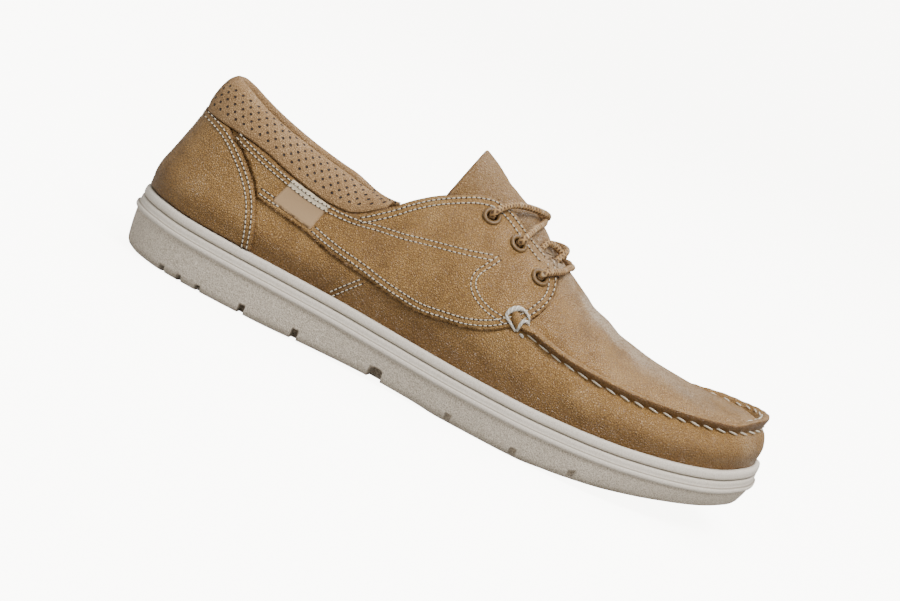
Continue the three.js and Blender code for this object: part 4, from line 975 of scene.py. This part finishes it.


# Painted highlight along the vamp's crest: its reach across, rear and front, and its colour.
SHEEN = {"y": (0.008, 0.026, 1.0, 0.0), "rear": (0.0, 0.035, 0.12, 1.0), "front": (0.06, 0.12, 0.7, 0.2),
         "colour": rgb(204, 190, 170)}
MATERIALS = {
    "sole_rubber": lambda: rubber("sole_rubber"),
    "upper_leather": lambda: leather("upper_leather", *chosen("leather_dark", "leather_mid", "leather_light"),
                                     edge=True, sheen_from=SHEEN),
    "collar_leather": lambda: perforated("collar_leather"),
    "lining_leather": lambda: leather("lining_leather", rgb(132, 100, 66), rgb(158, 124, 86), rgb(178, 144, 104),
                                      rough=0.7, bump=0.2),
    "label_cloth": lambda: label_cloth("label_cloth"),
    "eyelet_enamel": lambda: plain("eyelet_enamel", rgb(112, 84, 46), 0.45, 0.1, 900.0, 0.5),
    "lace_cord": lambda: cord("lace_cord", rgb(88, 62, 33), rgb(164, 128, 82), rgb(208, 184, 146)),
    "tie_cord": lambda: cord("tie_cord", rgb(168, 160, 146), rgb(228, 224, 214), rgb(236, 232, 224), 0.9),
    "thread": lambda: plain("thread", *chosen("thread"), 0.7, 0.0, 2400.0),
    # Painted shade for the needle holes.
    "thread_dark": lambda: plain("thread_dark", rgb(58, 38, 20), 0.8, 0.0, 2400.0),
}


def material(name):
    """The dressed finish of a slot, made once."""
    found = bpy.data.materials.get("dressed_" + name)
    if not found:
        found = MATERIALS[name]()
        found.name = "dressed_" + name
    return found


# ---- pieces

def stations(spacing, extra=()):
    """Angles round the whole outline about this far apart, the same on both sides, with extra places added."""
    fine = np.linspace(0, np.pi, 4000)
    run = (distances(flat(fine)) + distances(flat(-fine))) / 2
    theta = np.interp(np.linspace(0, run[-1], int(run[-1] / spacing) + 1), run, fine)
    more = angle_at(np.array(extra, float) / LENGTH)
    theta = np.unique(np.round(np.concatenate([theta, more]), 7))
    return np.concatenate([theta, 2 * np.pi - theta[-2:0:-1]])


def across(ids, up):
    """Faces across the inside of a ring, from its lateral to its medial stations."""
    m = len(ids)
    k = np.arange(m // 2)
    a, b, c, d = ids[k], ids[k + 1], ids[(m - k - 1) % m], ids[(m - k) % m]
    q = np.stack([a, b, c, d], -1) if up else np.stack([a, d, c, b], -1)
    ends = q[[0, -1]]
    tri = [np.array([[x for i, x in enumerate(row) if x not in row[:i]]]) for row in ends]
    return [q[1:-1], *tri]


def make_sole():
    """Sole: rings from the cup's floor over the rim and the side, with slots pushed in from the lower edge."""
    edges = [x + s * (w / 2 + e) for x, w, *_ in LUG_SLOTS for s in (-1, 1) for e in (-0.06, 0.06)]
    theta = stations(1.1, edges)
    at = share(theta)
    x = at * LENGTH
    top, low = rim(at), under(at)
    rows = [(np.full_like(at, RIM_INSET), top - CUP_DEPTH)] + [(np.full_like(at, d), top - z) for d, z in SOLE_BAND]
    last, first = SOLE_BAND[-1], SOLE_FOOT[0]
    steps = 17
    for k in range(1, steps):
        t = k / steps
        z = (top - last[1]) * (1 - t) + (low + first[1]) * t
        rows.append((last[0] + (first[0] - last[0]) * t**1.5 + 0 * at, z))
    rows += [(np.full_like(at, d), low + z) for d, z in SOLE_FOOT] + [(np.full_like(at, 17.0), low)]
    made, drops, lows = [], [], []
    for k, (distance, z) in enumerate(rows):
        deep = np.zeros_like(at)
        if 0 < k < len(rows) - 1:
            for sx, width, height, reach, is_round in LUG_SLOTS:
                half = width / 2
                arch = np.sqrt(np.clip(half**2 - (x - sx) ** 2, 0, None)) - half if is_round else 0.0
                deep = np.maximum(deep, ((np.abs(x - sx) < half) & (z < low + height + arch)) * reach)
        p = inset(theta, np.maximum(distance, deep))
        made.append(spot(p[:, 0], p[:, 1], z))
        drops.append(top - z + 20 * (k == 0))
        lows.append(z - low + 30 * (k < 2))
    grid = np.stack(made, 1)
    ids = grid_ids(*grid.shape[:2])
    faces = [quads(ids, wrap=True)[:, ::-1], *across(ids[:, 0], True), *across(ids[:, -1], False)]
    return build("sole_dressed", grid.reshape(-1, 3), faces,
                 values={"drop": np.stack(drops, 1).ravel(), "low": np.stack(lows, 1).ravel()})


def moc_relief(theta, v):
    """Relief beside the raised seam: a pressed line on both sides and a soft swell of the vamp above it."""
    front = smooth(share(theta), 0.585, 0.63)
    return front * (0.5 * bell(v, 2.65, 0.3) - 0.9 * bell(v, 2.13, 0.06) - 0.4 * bell(v, 1.76, 0.08))


def make_upper():
    """Upper: one hollow skin from the hem in the cup to the top line, with the eyelets' holes through it."""
    theta = stations(1.5, [THROAT_END * LENGTH])
    v = np.concatenate([[-1.0, -0.5], np.linspace(0, TOP, 74)])
    t, w = np.meshgrid(theta, v, indexing="ij")
    outer, inner = raised(t, w, moc_relief(t, w)), wall(t, w) - wall_normal(t, w) * WALL
    keep = np.ones((len(theta), len(v) - 1), bool)
    joined = np.concatenate([outer, outer[:1]], 0)
    for lateral in (True, False):
        keep &= drill_keep(joined, eyelet_spots(lateral)[0], EYELET_HOLE + 0.2)
    sealed = share(theta) >= THROAT_END - 1e-6
    verts, faces = shell(outer, inner, keep, wrap=True, sealed=sealed)
    # Painted shade: the upper darker towards the rim, where less light reaches.
    shade = np.tile((1 - smooth(w, 0.0, 1.7)).ravel(), 2)
    return build("upper_dressed", verts, faces, values={"edge": np.full(len(verts), 9.0), "shade": shade})


def param_grid(low, high, spacing, rows, lateral=True):
    """Grid of angles and v on one side, between two places along the shoe."""
    theta = angle_at(np.linspace(low, high, int((high - low) / spacing)) / LENGTH)
    t, v = np.meshgrid(theta, np.linspace(0, TOP, rows), indexing="ij")
    return (t, v) if lateral else ((2 * np.pi - t)[::-1], v[::-1])


def top_line(x0, x1, lateral, step=2.0):
    """Top line of one side of the upper in the side view between two places."""
    x = np.linspace(x0, x1, max(int(abs(x1 - x0) / step), 2))
    return np.stack([x, top_height(x / LENGTH) - (0 if lateral else 1) * medial_dip(x / LENGTH)], -1)


def quarter_ring(lateral):
    """Outline of a quarter in the side view: counter's edge, lower edge, front, throat and collar seam."""
    rear = np.array([(x + 0.9, z) for x, z in COUNTER_EDGE if 47.5 < z < 66])
    line = top_line(171.0, rear[0, 0] - 1.0, lateral)
    return np.concatenate([line, rear, polyline(QUARTER_LOW, 1.5)])


def make_quarter(lateral):
    """Quarter overlay of one side, with its rows of stitches pressed in."""
    ring = quarter_ring(lateral)
    t, v = param_grid(24.0, 183.0, 0.85, 76, lateral)

    def distance(theta, w, p):
        return side_distance(p, ring)

    verts, faces, edge = overlay(t, v, distance, GAP * 0.3, OVERLAY + GAP, eyelet_spots(lateral)[0], ROWS_FROM_EDGE)
    return build(f"quarter_{'lateral' if lateral else 'medial'}_dressed", verts, faces, values={"edge": edge})


def make_counter():
    """Heel counter round the back, cut to its front edges."""
    ring = np.concatenate([[(-12.0, 95.0), (COUNTER_EDGE[0][0], 95.0)], polyline(COUNTER_EDGE, 1.5),
                           [(57.0, 5.0), (-12.0, 5.0)]])
    reach = angle_at(66.0 / LENGTH)
    t, v = np.meshgrid(np.linspace(-reach, reach, 210), np.linspace(0, TOP, 60), indexing="ij")

    def distance(theta, w, p):
        side = side_distance(p, ring)
        foot = p[..., 2] - rim(share(theta)) - 0.3
        return np.minimum(np.minimum(side, foot), (TOP - w) * 10.0 + 0.1)

    verts, faces, edge = overlay(t, v, distance, GAP * 0.3, OVERLAY + GAP, (), ROWS_FROM_EDGE)
    # Painted shade: the counter darker towards the rim, where less light reaches.
    shade = np.tile((0.7 * (1 - smooth(v, 0.0, 1.7))).ravel(), 2)
    return build("counter_dressed", verts, faces, values={"edge": edge, "shade": shade})


def make_label():
    """Small label on the outer quarter, its own thin piece."""
    ring = np.array(LABEL_EDGE)
    t, v = param_grid(54.0, 81.0, 0.5, 110)

    def distance(theta, w, p):
        return side_distance(p, ring)

    verts, faces, edge = overlay(t, v, distance, OVERLAY + GAP, LABEL_THICKNESS)
    (x0, z0), (x1, z1) = LABEL_EDGE[:2]
    x, z = verts[:, 0] + CENTRE_X, verts[:, 2]
    below = z0 + (z1 - z0) * (x - x0) / (x1 - x0) - z
    return build("label_dressed", verts, faces, values={"edge": edge, "below": below})


def make_collar():
    """Padded collar: a closed section carried round the collar seam from one side of the throat to the other,
    thinner where it runs low, with soft puckers."""
    reach = angle_at(COLLAR_END)
    theta = np.linspace(-reach, reach, 260)
    at, lateral = share(theta), is_lateral(theta)
    seam_point, face = raised(theta, np.full_like(theta, TOP), 0.0), wall_normal(theta, np.full_like(theta, TOP))
    y = np.where(lateral, -collar_top["lateral"](at), collar_top["medial"](at)) * BALL_WIDTH
    z = np.where(lateral, collar_top["outer"](at), collar_top["inner"](at)) * COLLAR_HEIGHT
    z = z - np.where(lateral, 0, medial_dip(at))
    top = spot(collar_top["top"](at) * LENGTH, y, z)
    up = top - seam_point
    tall = np.linalg.norm(up, axis=-1)
    up = unit(up)
    out = unit(face - up * np.sum(face * up, -1, keepdims=True))
    run = distances(top)
    pucker = 1 + 0.03 * np.sin(run / 6.1) + 0.02 * np.sin(run / 3.3)
    thick = COLLAR_THICKNESS * np.minimum(1, tall / COLLAR_FULL) * pucker
    section = polyline(COLLAR_SECTION, 0.045)
    foot = 0.25
    ups, outs = section[:, 0], section[:, 1]
    grid = (seam_point[:, None] + up[:, None] * (foot + ups[None, :] * (tall - foot)[:, None])[..., None]
            + out[:, None] * (outs[None, :] * thick[:, None])[..., None])
    m, n = grid.shape[:2]
    ids = grid_ids(m, n)
    faces = [quads(ids, wrap_other=True)]
    half = n // 2
    for row, flip in ((ids[0], False), (ids[-1], True)):
        q = np.stack([row[:half - 1], row[1:half], row[::-1][1:half], row[::-1][:half - 1]], -1)
        faces.append(q[:, ::-1] if flip else q)
        if n % 2:
            tri = row[None, half - 1:half + 2]
            faces.append(tri[:, ::-1] if flip else tri)
    wide = np.concatenate([np.zeros((m, 1)), np.cumsum(np.linalg.norm(np.diff(grid, axis=1), axis=-1), 1)], 1)
    uv = np.stack(np.broadcast_arrays(run[:, None], wide), -1).reshape(-1, 2)
    obj = build("collar_dressed", grid.reshape(-1, 3), faces, uv=uv, values={"edge": np.full(m * n, 9.0)})
    return obj


def tongue_point(at, angle, depth):
    """Point of the tongue at an angle from its crest, so far under its upper face."""
    drop = 1 - np.cos(angle)
    crest = top_height(at) + tongue["above"](at) * INSTEP_HEIGHT + 2.7 * bell(at, 0.548, 0.034)
    y = tongue["centre"](at) * BALL_WIDTH + (tongue["half_width"](at) * BALL_WIDTH - depth) * np.sin(angle)
    z = crest - depth - (tongue["fall"](at) * INSTEP_HEIGHT - depth) * drop
    return spot((at + tongue["rake"](at) * drop) * LENGTH, y, z)


def make_tongue():
    """Tongue: an arched sheet with rounded edges and shallow wrinkles under the lace."""
    at, angle = np.meshgrid(np.linspace(*TONGUE_SPAN, 90), np.linspace(-TONGUE_TURN, TONGUE_TURN, 72), indexing="ij")
    rear, side = (at - TONGUE_SPAN[0]) * LENGTH, (TONGUE_TURN - np.abs(angle)) * 20.0
    edge = np.minimum(rear, side)
    t = np.clip(edge / 1.2, 0, 1)
    sink = 0.9 * (1 - np.sqrt(np.clip(1 - (1 - t) ** 2, 0, 1)))
    wave = 0.22 * np.sin(rear / 2.3 + 1.5 * np.cos(angle * 2)) * smooth(at, 0.5, 0.53)
    outer, inner = tongue_point(at, angle, sink - wave), tongue_point(at, angle, TONGUE_THICKNESS - 0.5 * sink)
    verts, faces = shell(outer, inner, np.ones((at.shape[0] - 1, at.shape[1] - 1), bool))
    # Painted shade on the tongue's sides, leaving its crest lighter as a painted highlight.
    shade = 0.4 * smooth(np.abs(angle), 0.08, 0.4)
    return build("tongue_dressed", verts, faces, values={"edge": np.tile(edge.ravel() + 0.25, 2),
                                                         "shade": np.tile(shade.ravel(), 2)})


def strand(rows, lateral, sides):
    """Cord along rows of place, height, lift off the leather and radius."""
    data = polyline(rows, 0.5)
    theta, v = locate(data[:, 0], data[:, 1], lateral)
    return sweep(raised(theta, v, data[:, 2]), data[:, 3], sides)


def ridge_frame(theta):
    """Middle of the raised seam, direction across it upward, and the wall's normal. Round the toe the seam sits
    a little further in."""
    v = np.full_like(theta, SHOULDER)
    up = unit(wall(theta, v + 0.2) - wall(theta, v - 0.2))
    return wall(theta, v) + up * 1.6 * smooth(share(theta), 0.95, 0.995)[:, None], up, wall_normal(theta, v)


def ridge_front(theta):
    """1 where the seam stands higher and leans in: round the toe and along the front of the inner side."""
    at = share(theta)
    tip, far = smooth(at, 0.935, 0.99), (theta > np.pi) * smooth(at, 0.82, 0.94)
    return np.maximum(0.75 * tip, far * (1 - 0.25 * tip))


def leaned(up, n, front):
    """Directions of the seam where it leans in."""
    tilt = 0.42 * front[:, None]
    return unit(up - n * tilt), unit(n + up * tilt)


def make_ridge():
    """Raised moc seam: a rounded roll along the shoulder, drawn in at every stitch and let down at its ends."""
    settings = bpy.context.scene.boat_shoe
    start = angle_at(RIDGE_START)
    fine = np.linspace(start, 2 * np.pi - start, 900)
    p, up, n = ridge_frame(fine)
    run = distances(p)
    ends = smooth(np.minimum(run, run[-1] - run), 0.0, 6.0)
    pull = 0.5 + 0.5 * np.cos(2 * np.pi * run / settings.moc_pitch)
    front = ridge_front(fine)
    up, n = leaned(up, n, front)
    high = settings.ridge_height * (0.7 + 0.3 * ends) * (1 - 0.08 * pull * (1 - 0.6 * front)) * (1 + 0.4 * front)
    section = polyline(RIDGE_SECTION, 0.35)
    section[:, 1] = np.clip(section[:, 1], 0, 1)
    side, lift = section[None, :, 0] * (1 - 0.08 * pull)[:, None], section[None, :, 1] * high[:, None] + 0.1
    top = p[:, None] - up[:, None] * side[..., None] + n[:, None] * lift[..., None]
    base = (p[:, None] - up[:, None] * side[:, ::-1, None] * 0.96 + n[:, None] * -0.5)
    grid = np.concatenate([top, base[:, 1:-1]], 1)
    ids = grid_ids(*grid.shape[:2])
    faces = [quads(ids, wrap_other=True)]
    for row, flip in ((ids[0], False), (ids[-1], True)):
        fan = np.stack([np.full(len(row) - 2, row[0]), row[1:-1], row[2:]], -1)
        faces.append(fan[:, ::-1] if flip else fan)
    # Painted shade: the seam's outer face and the outer part of its top take the dark edge tint, which stands in for
    # the shadow on that face. The top is also the cut edge.
    edge_with_face_shade = np.full(grid.shape[:2], 9.0)
    edge_with_face_shade[:, : int(len(section) * 0.36)] = 0.0
    parts, edges = [(grid.reshape(-1, 3), faces)], [edge_with_face_shade.ravel()]
    for lateral in (True, False):
        end = strand(SEAM_END, lateral, 14)[:2]
        parts.append(end)
        edges.append(np.full(len(end[0]), 9.0))
    verts, faces = join(parts)
    return build("moc_seam_dressed", verts, faces, values={"edge": np.concatenate(edges)})


def moc_stitches():
    """Long running stitches just below the raised seam."""
    settings = bpy.context.scene.boat_shoe
    start = angle_at(0.6)
    fine = np.linspace(start, 2 * np.pi - start, 2400)
    p, up, n = ridge_frame(fine)
    run = distances(p)
    at = np.arange(3.0, run[-1] - 3.0, settings.moc_pitch)
    p, up, n = (np.stack([np.interp(at, run, a[:, k]) for k in range(3)], -1) for a in (p, up, n))
    up, n, place = unit(up), unit(n), np.interp(at, run, fine)
    across = unit(np.cross(n, up))
    pitch = settings.moc_pitch
    low = threads(p - up * 2.65 + n * 0.3, unit(across + up * 0.2), n, pitch * 0.86, 0.75, 0.45)
    far = place > np.pi - 0.3
    p, across, (up, n) = p[far], across[far], leaned(up[far], n[far], ridge_front(place[far]))
    high = threads(p + up * 1.1 + n * 2.7, unit(across - n * 0.2), unit(up + n), pitch * 0.6, 0.8, 0.5)
    return join([low, high])


def lace_path():
    """The lace's whole way: from inside one top eyelet out, across, in and out again, to inside the other."""
    spots = {True: eyelet_spots(True), False: eyelet_spots(False)}
    crest_y = 0.018 * BALL_WIDTH
    lift = LACE_DIAMETER / 2
    out, into = (-5.2, -1.0, 2.4, 4.9), (4.9, 2.4, -1.0, -4.4)
    back = into[::-1]
    bar_top = [spot(0.618 * LENGTH, crest_y, top_height(0.618) + lift + 0.3)]

    def hole(lateral, row, depths):
        """Points on an eyelet's axis at heights above the wall."""
        p, n = spots[lateral][0][row - 1], spots[lateral][1][row - 1]
        return [p + n * d for d in depths]

    def edge(lateral, at):
        """Point over the top line, resting on the quarter."""
        theta, v = (1 if lateral else -1) * angle_at(np.array([at])), np.array([TOP])
        return [(wall(theta, v) + wall_normal(theta, v) * (OVERLAY + GAP + lift + 0.2))[0]]

    def on_tongue(lateral, at, turn=0.4):
        """Point resting on the tongue, turned from its crest."""
        return [tongue_point(np.array(at), np.array(turn * (-1 if lateral else 1)), -lift - 0.2)]

    def crest(at, above):
        """Point above the tongue's crest."""
        return [spot(at * LENGTH, crest_y, top_height(at) + tongue["above"](np.array(at)) * INSTEP_HEIGHT + above)]

    def over_vamp(lateral, at, below, above):
        """Point over the wall, so far below the top line."""
        at = np.array([at])
        theta, v = locate(at * LENGTH, top_height(at) - below * INSTEP_HEIGHT, lateral)
        return [(wall(theta, v) + wall_normal(theta, v) * (above + lift))[0]]

    ways = (
        hole(True, 1, out), edge(True, 0.5), crest(0.552, 6.6), edge(False, 0.54), hole(False, 2, into),
        on_tongue(False, 0.556, 0.95), on_tongue(False, 0.574, 0.5), crest(0.6, 7.6), on_tongue(True, 0.592),
        hole(True, 3, back), over_vamp(True, 0.602, 0.042, OVERLAY + 0.6), over_vamp(True, 0.612, 0.0105, 0.3),
        bar_top,
        over_vamp(False, 0.612, 0.0105, 0.3), over_vamp(False, 0.602, 0.042, OVERLAY + 0.6), hole(False, 3, into),
        on_tongue(False, 0.592), crest(0.6, 4.9), on_tongue(True, 0.572), on_tongue(True, 0.56, 0.95),
        hole(True, 2, back), edge(True, 0.54), crest(0.552, 3.9), edge(False, 0.516), hole(False, 1, out[::-1]),
    )
    return polyline(sum(ways, []), 0.7)


def make_lace():
    """Lace: one round braided cord through all six eyelets, its ends inside the top ones."""
    verts, faces, uv = sweep(lace_path(), LACE_DIAMETER / 2, 14)
    return build("lace_dressed", verts, faces, uv=uv)


def make_eyelets():
    """Six eyelets: a barrel through the wall and a rolled head, turned about the wall's normal."""
    section = np.array([(2.2, -2.4), (2.6, -2.4), (2.6, 1.9), (4.1, 1.95), (4.25, 2.15), (4.15, 2.5),
                        (3.8, 2.85), (3.3, 2.95), (2.8, 2.85), (2.4, 2.5), (2.2, 2.0)])
    parts = []
    angle = np.linspace(0, 2 * np.pi, 32, endpoint=False)
    for lateral in (True, False):
        for p, n in zip(*eyelet_spots(lateral)):
            side = unit(np.cross(n, [1.0, 0.0, 0.0]))
            other = np.cross(n, side)
            round_way = np.cos(angle)[:, None] * side + np.sin(angle)[:, None] * other
            grid = p + round_way[:, None] * section[None, :, :1] + n * section[None, :, 1:]
            ids = grid_ids(*grid.shape[:2])
            parts.append((grid.reshape(-1, 3), [quads(ids, wrap=True, wrap_other=True)]))
    verts, faces = join(parts)
    return build("eyelets_dressed", verts, faces)


def make_ties():
    """White cord tie round each rear end of the moc seam: a loop and two strands into the seam."""
    parts, uvs = [], []
    for lateral in (True, False):
        for rows in TIE:
            verts, faces, uv = strand(rows, lateral, 10)
            parts.append((verts, faces))
            uvs.append(uv)
    verts, faces = join(parts)
    return build("ties_dressed", verts, faces, uv=np.concatenate(uvs))


def side_rows(holes):
    """All machine rows of both sides: along the quarter, throat, counter and saddle."""
    pitch, up = bpy.context.scene.boat_shoe.stitch_pitch, OVERLAY + GAP + 0.1
    parts = []
    for lateral in (True, False):
        throat = top_line(168.0, 91.5, lateral)
        for row in (1.9, 4.1):
            for line in (QUARTER_LOW[:-1], throat, COUNTER_ROW[::-1]):
                parts.append(seam(line, pitch, up, lateral, row, holes))
        for row in (0.0, 2.0):
            for line in (SADDLE_TOP, SADDLE_FRONT):
                parts.append(seam(line, pitch, up, lateral, row, holes))
        for row in (0.0, 2.0):
            parts.append(seam(LOWER_SEAM, pitch, 0.15, lateral, row, holes))
    return parts


def make_stitches():
    """Threads of the machine rows, and the long stitches at the raised seam."""
    return build("stitches", *join(side_rows(False) + [moc_stitches()]))


def make_holes():
    """Dark needle holes between the machine stitches."""
    return build("stitch_holes", *join(side_rows(True)))


def make_insole():
    """Insole: a thin bed inside the hem, a little dished."""
    theta = stations(3.0)
    at = share(theta)
    edge = RIM_INSET + GAP + WALL + GAP
    x, y = inset(theta, np.full_like(at, edge)).T
    base = rim(at) - CUP_DEPTH + GAP
    rows = [spot(x, y, base)]
    for t in np.linspace(0.0, 1.0, 12):
        rows.append(spot(x * (1 - 0.06 * t) + 0.5 * LENGTH * 0.06 * t, y * (1 - 0.97 * t),
                         base + INSOLE_THICKNESS - 1.6 * smooth(t, 0.0, 0.7)))
    grid = np.stack(rows, 1)
    ids = grid_ids(*grid.shape[:2])
    faces = [quads(ids, wrap=True), *across(ids[:, 0], False), *across(ids[:, -1], True)]
    return build("insole_dressed", grid.reshape(-1, 3), faces,
                 values={"edge": np.full(grid.shape[0] * grid.shape[1], 9.0)})


# ---- the add-on

class ShoeSettings(bpy.types.PropertyGroup):
    """Sizes and colours that change how the shoe is dressed."""

    stitch_pitch: FloatProperty(name="Stitch pitch", description="Distance between machine stitches, in mm",
                                default=2.1, min=1.0, max=6.0)
    moc_pitch: FloatProperty(name="Moc stitch pitch",
                             description="Distance between the long stitches at the toe, in mm", default=6.5, min=3.0,
                             max=12.0)
    ridge_height: FloatProperty(name="Ridge height", description="Height of the raised toe seam, in mm", default=3.7,
                                min=1.0, max=5.0)
    hole_pitch: FloatProperty(name="Hole pitch", description="Distance between the collar's holes, in mm",
                              default=4.2, min=2.0, max=8.0)
    leather_dark: FloatVectorProperty(name="Leather, dark", description="Colour of the leather's creases and pores",
                                      default=rgb(86, 58, 25), size=4, min=0.0, max=1.0, subtype="COLOR")
    leather_mid: FloatVectorProperty(name="Leather", description="Main colour of the leather",
                                     default=rgb(152, 114, 62), size=4, min=0.0, max=1.0, subtype="COLOR")
    leather_light: FloatVectorProperty(name="Leather, light", description="Colour of the leather's worn places",
                                       default=rgb(194, 156, 102), size=4, min=0.0, max=1.0, subtype="COLOR")
    thread: FloatVectorProperty(name="Thread", description="Colour of the stitches",
                                default=rgb(214, 203, 182), size=4, min=0.0, max=1.0, subtype="COLOR")


class StageSettings(bpy.types.PropertyGroup):
    """Camera and floor."""

    distance: FloatProperty(name="Camera distance", description="Distance from the camera to its target", default=1.2,
                            min=0.3, max=5.0, unit="LENGTH")
    elevation: FloatProperty(name="Elevation", description="Camera's angle above the floor",
                             default=math.radians(8.5), subtype="ANGLE")
    azimuth: FloatProperty(name="Azimuth", description="Camera's turn toward the toe", default=math.radians(2.0),
                           subtype="ANGLE")
    roll: FloatProperty(name="Roll", description="Turn of the picture", default=math.radians(26.2), subtype="ANGLE")
    lens: FloatProperty(name="Lens", description="Focal length in mm", default=112.1, min=20.0, max=300.0)
    backdrop_rows: IntProperty(name="Backdrop rows", description="Rows of the backdrop's curve", default=24, min=4,
                               max=64)


def operator(idname, label, text, run, *pieces):
    """One operator that runs a step, such as building a piece or a group of like pieces."""

    def execute(self, context):
        run(*pieces)
        return {"FINISHED"}

    return type("SHOE_OT_" + idname, (bpy.types.Operator,),
                {"bl_idname": "shoe." + idname, "bl_label": label, "__doc__": text, "execute": execute})


# Soft lights aimed at the origin: place and side in metres, power in watts
LIGHTS = (("key", (0.5, -0.85, 1.55), 0.9, 47.0), ("fill", (-1.2, -1.3, 0.6), 1.2, 3.5),
          ("back", (0.3, 1.0, 1.6), 1.2, 24.0))
WORLD_STRENGTH = 0.64


def build_stage():
    """Floor that curves up into a backdrop, soft lights, world and camera."""
    s = bpy.context.scene.boat_stage
    half, depth, bend = 6000.0, 3000.0, 1200.0
    turn = np.linspace(0, np.pi / 2, s.backdrop_rows)
    y = np.concatenate([[-4000.0], depth + np.sin(turn) * bend, [depth + bend]])
    z = np.concatenate([[0.0], bend - np.cos(turn) * bend, [6000.0]])
    grid = np.stack(np.broadcast_arrays(np.array([-half, half])[:, None], y, z), -1)
    ids = grid_ids(*grid.shape[:2])
    floor = build("floor", grid.reshape(-1, 3), [quads(ids)])
    made, net, shader, _ = new_material("floor_paper")
    seen = net.node("ShaderNodeLightPath").outputs["Is Camera Ray"]
    net.put(shader.inputs["Base Color"], net.mix(seen, rgb(150, 148, 144), rgb(250, 250, 247)))
    net.put(shader.inputs["Roughness"], 0.9)
    net.put(shader.inputs["Emission Color"], (1.0, 0.985, 0.93, 1.0))
    net.put(shader.inputs["Emission Strength"], net.times(seen, 8.0))
    floor.data.materials.append(made)
    world = bpy.context.scene.world or bpy.data.worlds.new("World")
    bpy.context.scene.world = world
    world.use_nodes = True
    back = world.node_tree.nodes["Background"]
    back.inputs[0].default_value = (1.0, 1.0, 1.0, 1.0)
    back.inputs[1].default_value = WORLD_STRENGTH
    for name, place, size, power in LIGHTS:
        light = bpy.data.lights.new(name, "AREA")
        light.size, light.energy = size, power
        obj = bpy.data.objects.new(name, light)
        bpy.context.collection.objects.link(obj)
        obj.location = place
        obj.rotation_mode = "QUATERNION"
        obj.rotation_quaternion = Vector(place).to_track_quat("Z", "Y")
    target = spot(140.0, 0.0, 40.0) * 0.001
    e, a, r = s.elevation, s.azimuth, s.roll
    d = np.array([-math.sin(a) * math.cos(e), math.cos(a) * math.cos(e), -math.sin(e)])
    up = unit(np.array([0.0, 0.0, 1.0]) + d * math.sin(e))
    right = np.cross(d, up)
    right, up = math.cos(r) * right + math.sin(r) * up, -math.sin(r) * right + math.cos(r) * up
    camera = bpy.data.objects.new("camera", bpy.data.cameras.new("camera"))
    bpy.context.collection.objects.link(camera)
    camera.data.lens, camera.data.clip_start, camera.data.clip_end = s.lens, 0.05, 50.0
    m = np.eye(4)
    m[:3, 0], m[:3, 1], m[:3, 2], m[:3, 3] = right, up, -d, target - d * s.distance
    camera.matrix_world = Matrix(m.tolist())
    bpy.context.scene.camera = camera


def paint_frame():
    """Every solid of the frame carries a finish of its own too."""
    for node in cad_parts.values():
        slot = node.data.materials[0].name.split(".")[0] if node.data.materials else "upper_leather"
        node.data.materials.clear()
        node.data.materials.append(material(slot if slot in MATERIALS else "upper_leather"))


def dress(*pieces):
    """Builds each of a step's pieces: how it is made, its finish and the solids it stands for."""
    for make, slot, *nodes in pieces:
        finish_piece(make(), slot, *nodes)


EYELET_NODES = [f"eyelet_{side}_{k}" for side in ("lateral", "medial") for k in (1, 2, 3)]
PIECE_STEPS = (
    ("sole", "Sole", "Builds the sole", (make_sole, "sole_rubber", "sole")),
    ("insole", "Insole", "Builds the insole", (make_insole, "lining_leather", "insole")),
    ("upper", "Upper", "Builds the upper", (make_upper, "upper_leather", "upper")),
    ("overlays", "Overlays", "Builds the quarters and the heel counter",
     (lambda: make_quarter(True), "upper_leather", "quarter_lateral"),
     (lambda: make_quarter(False), "upper_leather", "quarter_medial"),
     (make_counter, "upper_leather", "heel_counter")),
    ("collar", "Collar", "Builds the padded collar", (make_collar, "collar_leather", "collar")),
    ("tongue", "Tongue", "Builds the tongue", (make_tongue, "upper_leather", "tongue")),
    ("ridge", "Moc seam", "Builds the raised seam", (make_ridge, "upper_leather", "moc_seam")),
    ("trim", "Trim", "Builds the eyelets, label and cord ties", (make_eyelets, "eyelet_enamel", *EYELET_NODES),
     (make_label, "label_cloth", "label"), (make_ties, "tie_cord", "seam_tie_lateral", "seam_tie_medial")),
    ("lace", "Lace", "Builds the lace", (make_lace, "lace_cord", "lace_bar", "lace_cross_front", "lace_cross_rear")),
    ("stitches", "Stitches", "Builds every row of stitches", (make_stitches, "thread"), (make_holes, "thread_dark")),
)
STEPS = (
    operator("frame", "Frame finish", "Gives the frame's solids their finish", paint_frame),
    *(operator(idname, label, text, dress, *pieces) for idname, label, text, *pieces in PIECE_STEPS),
    operator("stage", "Stage", "Builds the floor, lights and camera", build_stage),
)


class SHOE_PT_panel(bpy.types.Panel):
    """Lists the steps and their settings in the sidebar."""

    bl_label = "Boat shoe"
    bl_idname = "SHOE_PT_panel"
    bl_space_type = "VIEW_3D"
    bl_region_type = "UI"
    bl_category = "Boat shoe"

    def draw(self, context):
        for settings in (context.scene.boat_shoe, context.scene.boat_stage):
            for name in settings.__annotations__:
                self.layout.prop(settings, name)
        for step in STEPS:
            self.layout.operator(step.bl_idname)


CLASSES = (ShoeSettings, StageSettings, *STEPS, SHOE_PT_panel)


def register():
    for cls in CLASSES:
        bpy.utils.register_class(cls)
    bpy.types.Scene.boat_shoe = PointerProperty(type=ShoeSettings)
    bpy.types.Scene.boat_stage = PointerProperty(type=StageSettings)


def unregister():
    del bpy.types.Scene.boat_shoe
    del bpy.types.Scene.boat_stage
    for cls in reversed(CLASSES):
        bpy.utils.unregister_class(cls)


def main():
    register()
    for step in STEPS:
        getattr(bpy.ops.shoe, step.bl_idname.split(".")[1])()


if __name__ == "__main__":
    main()
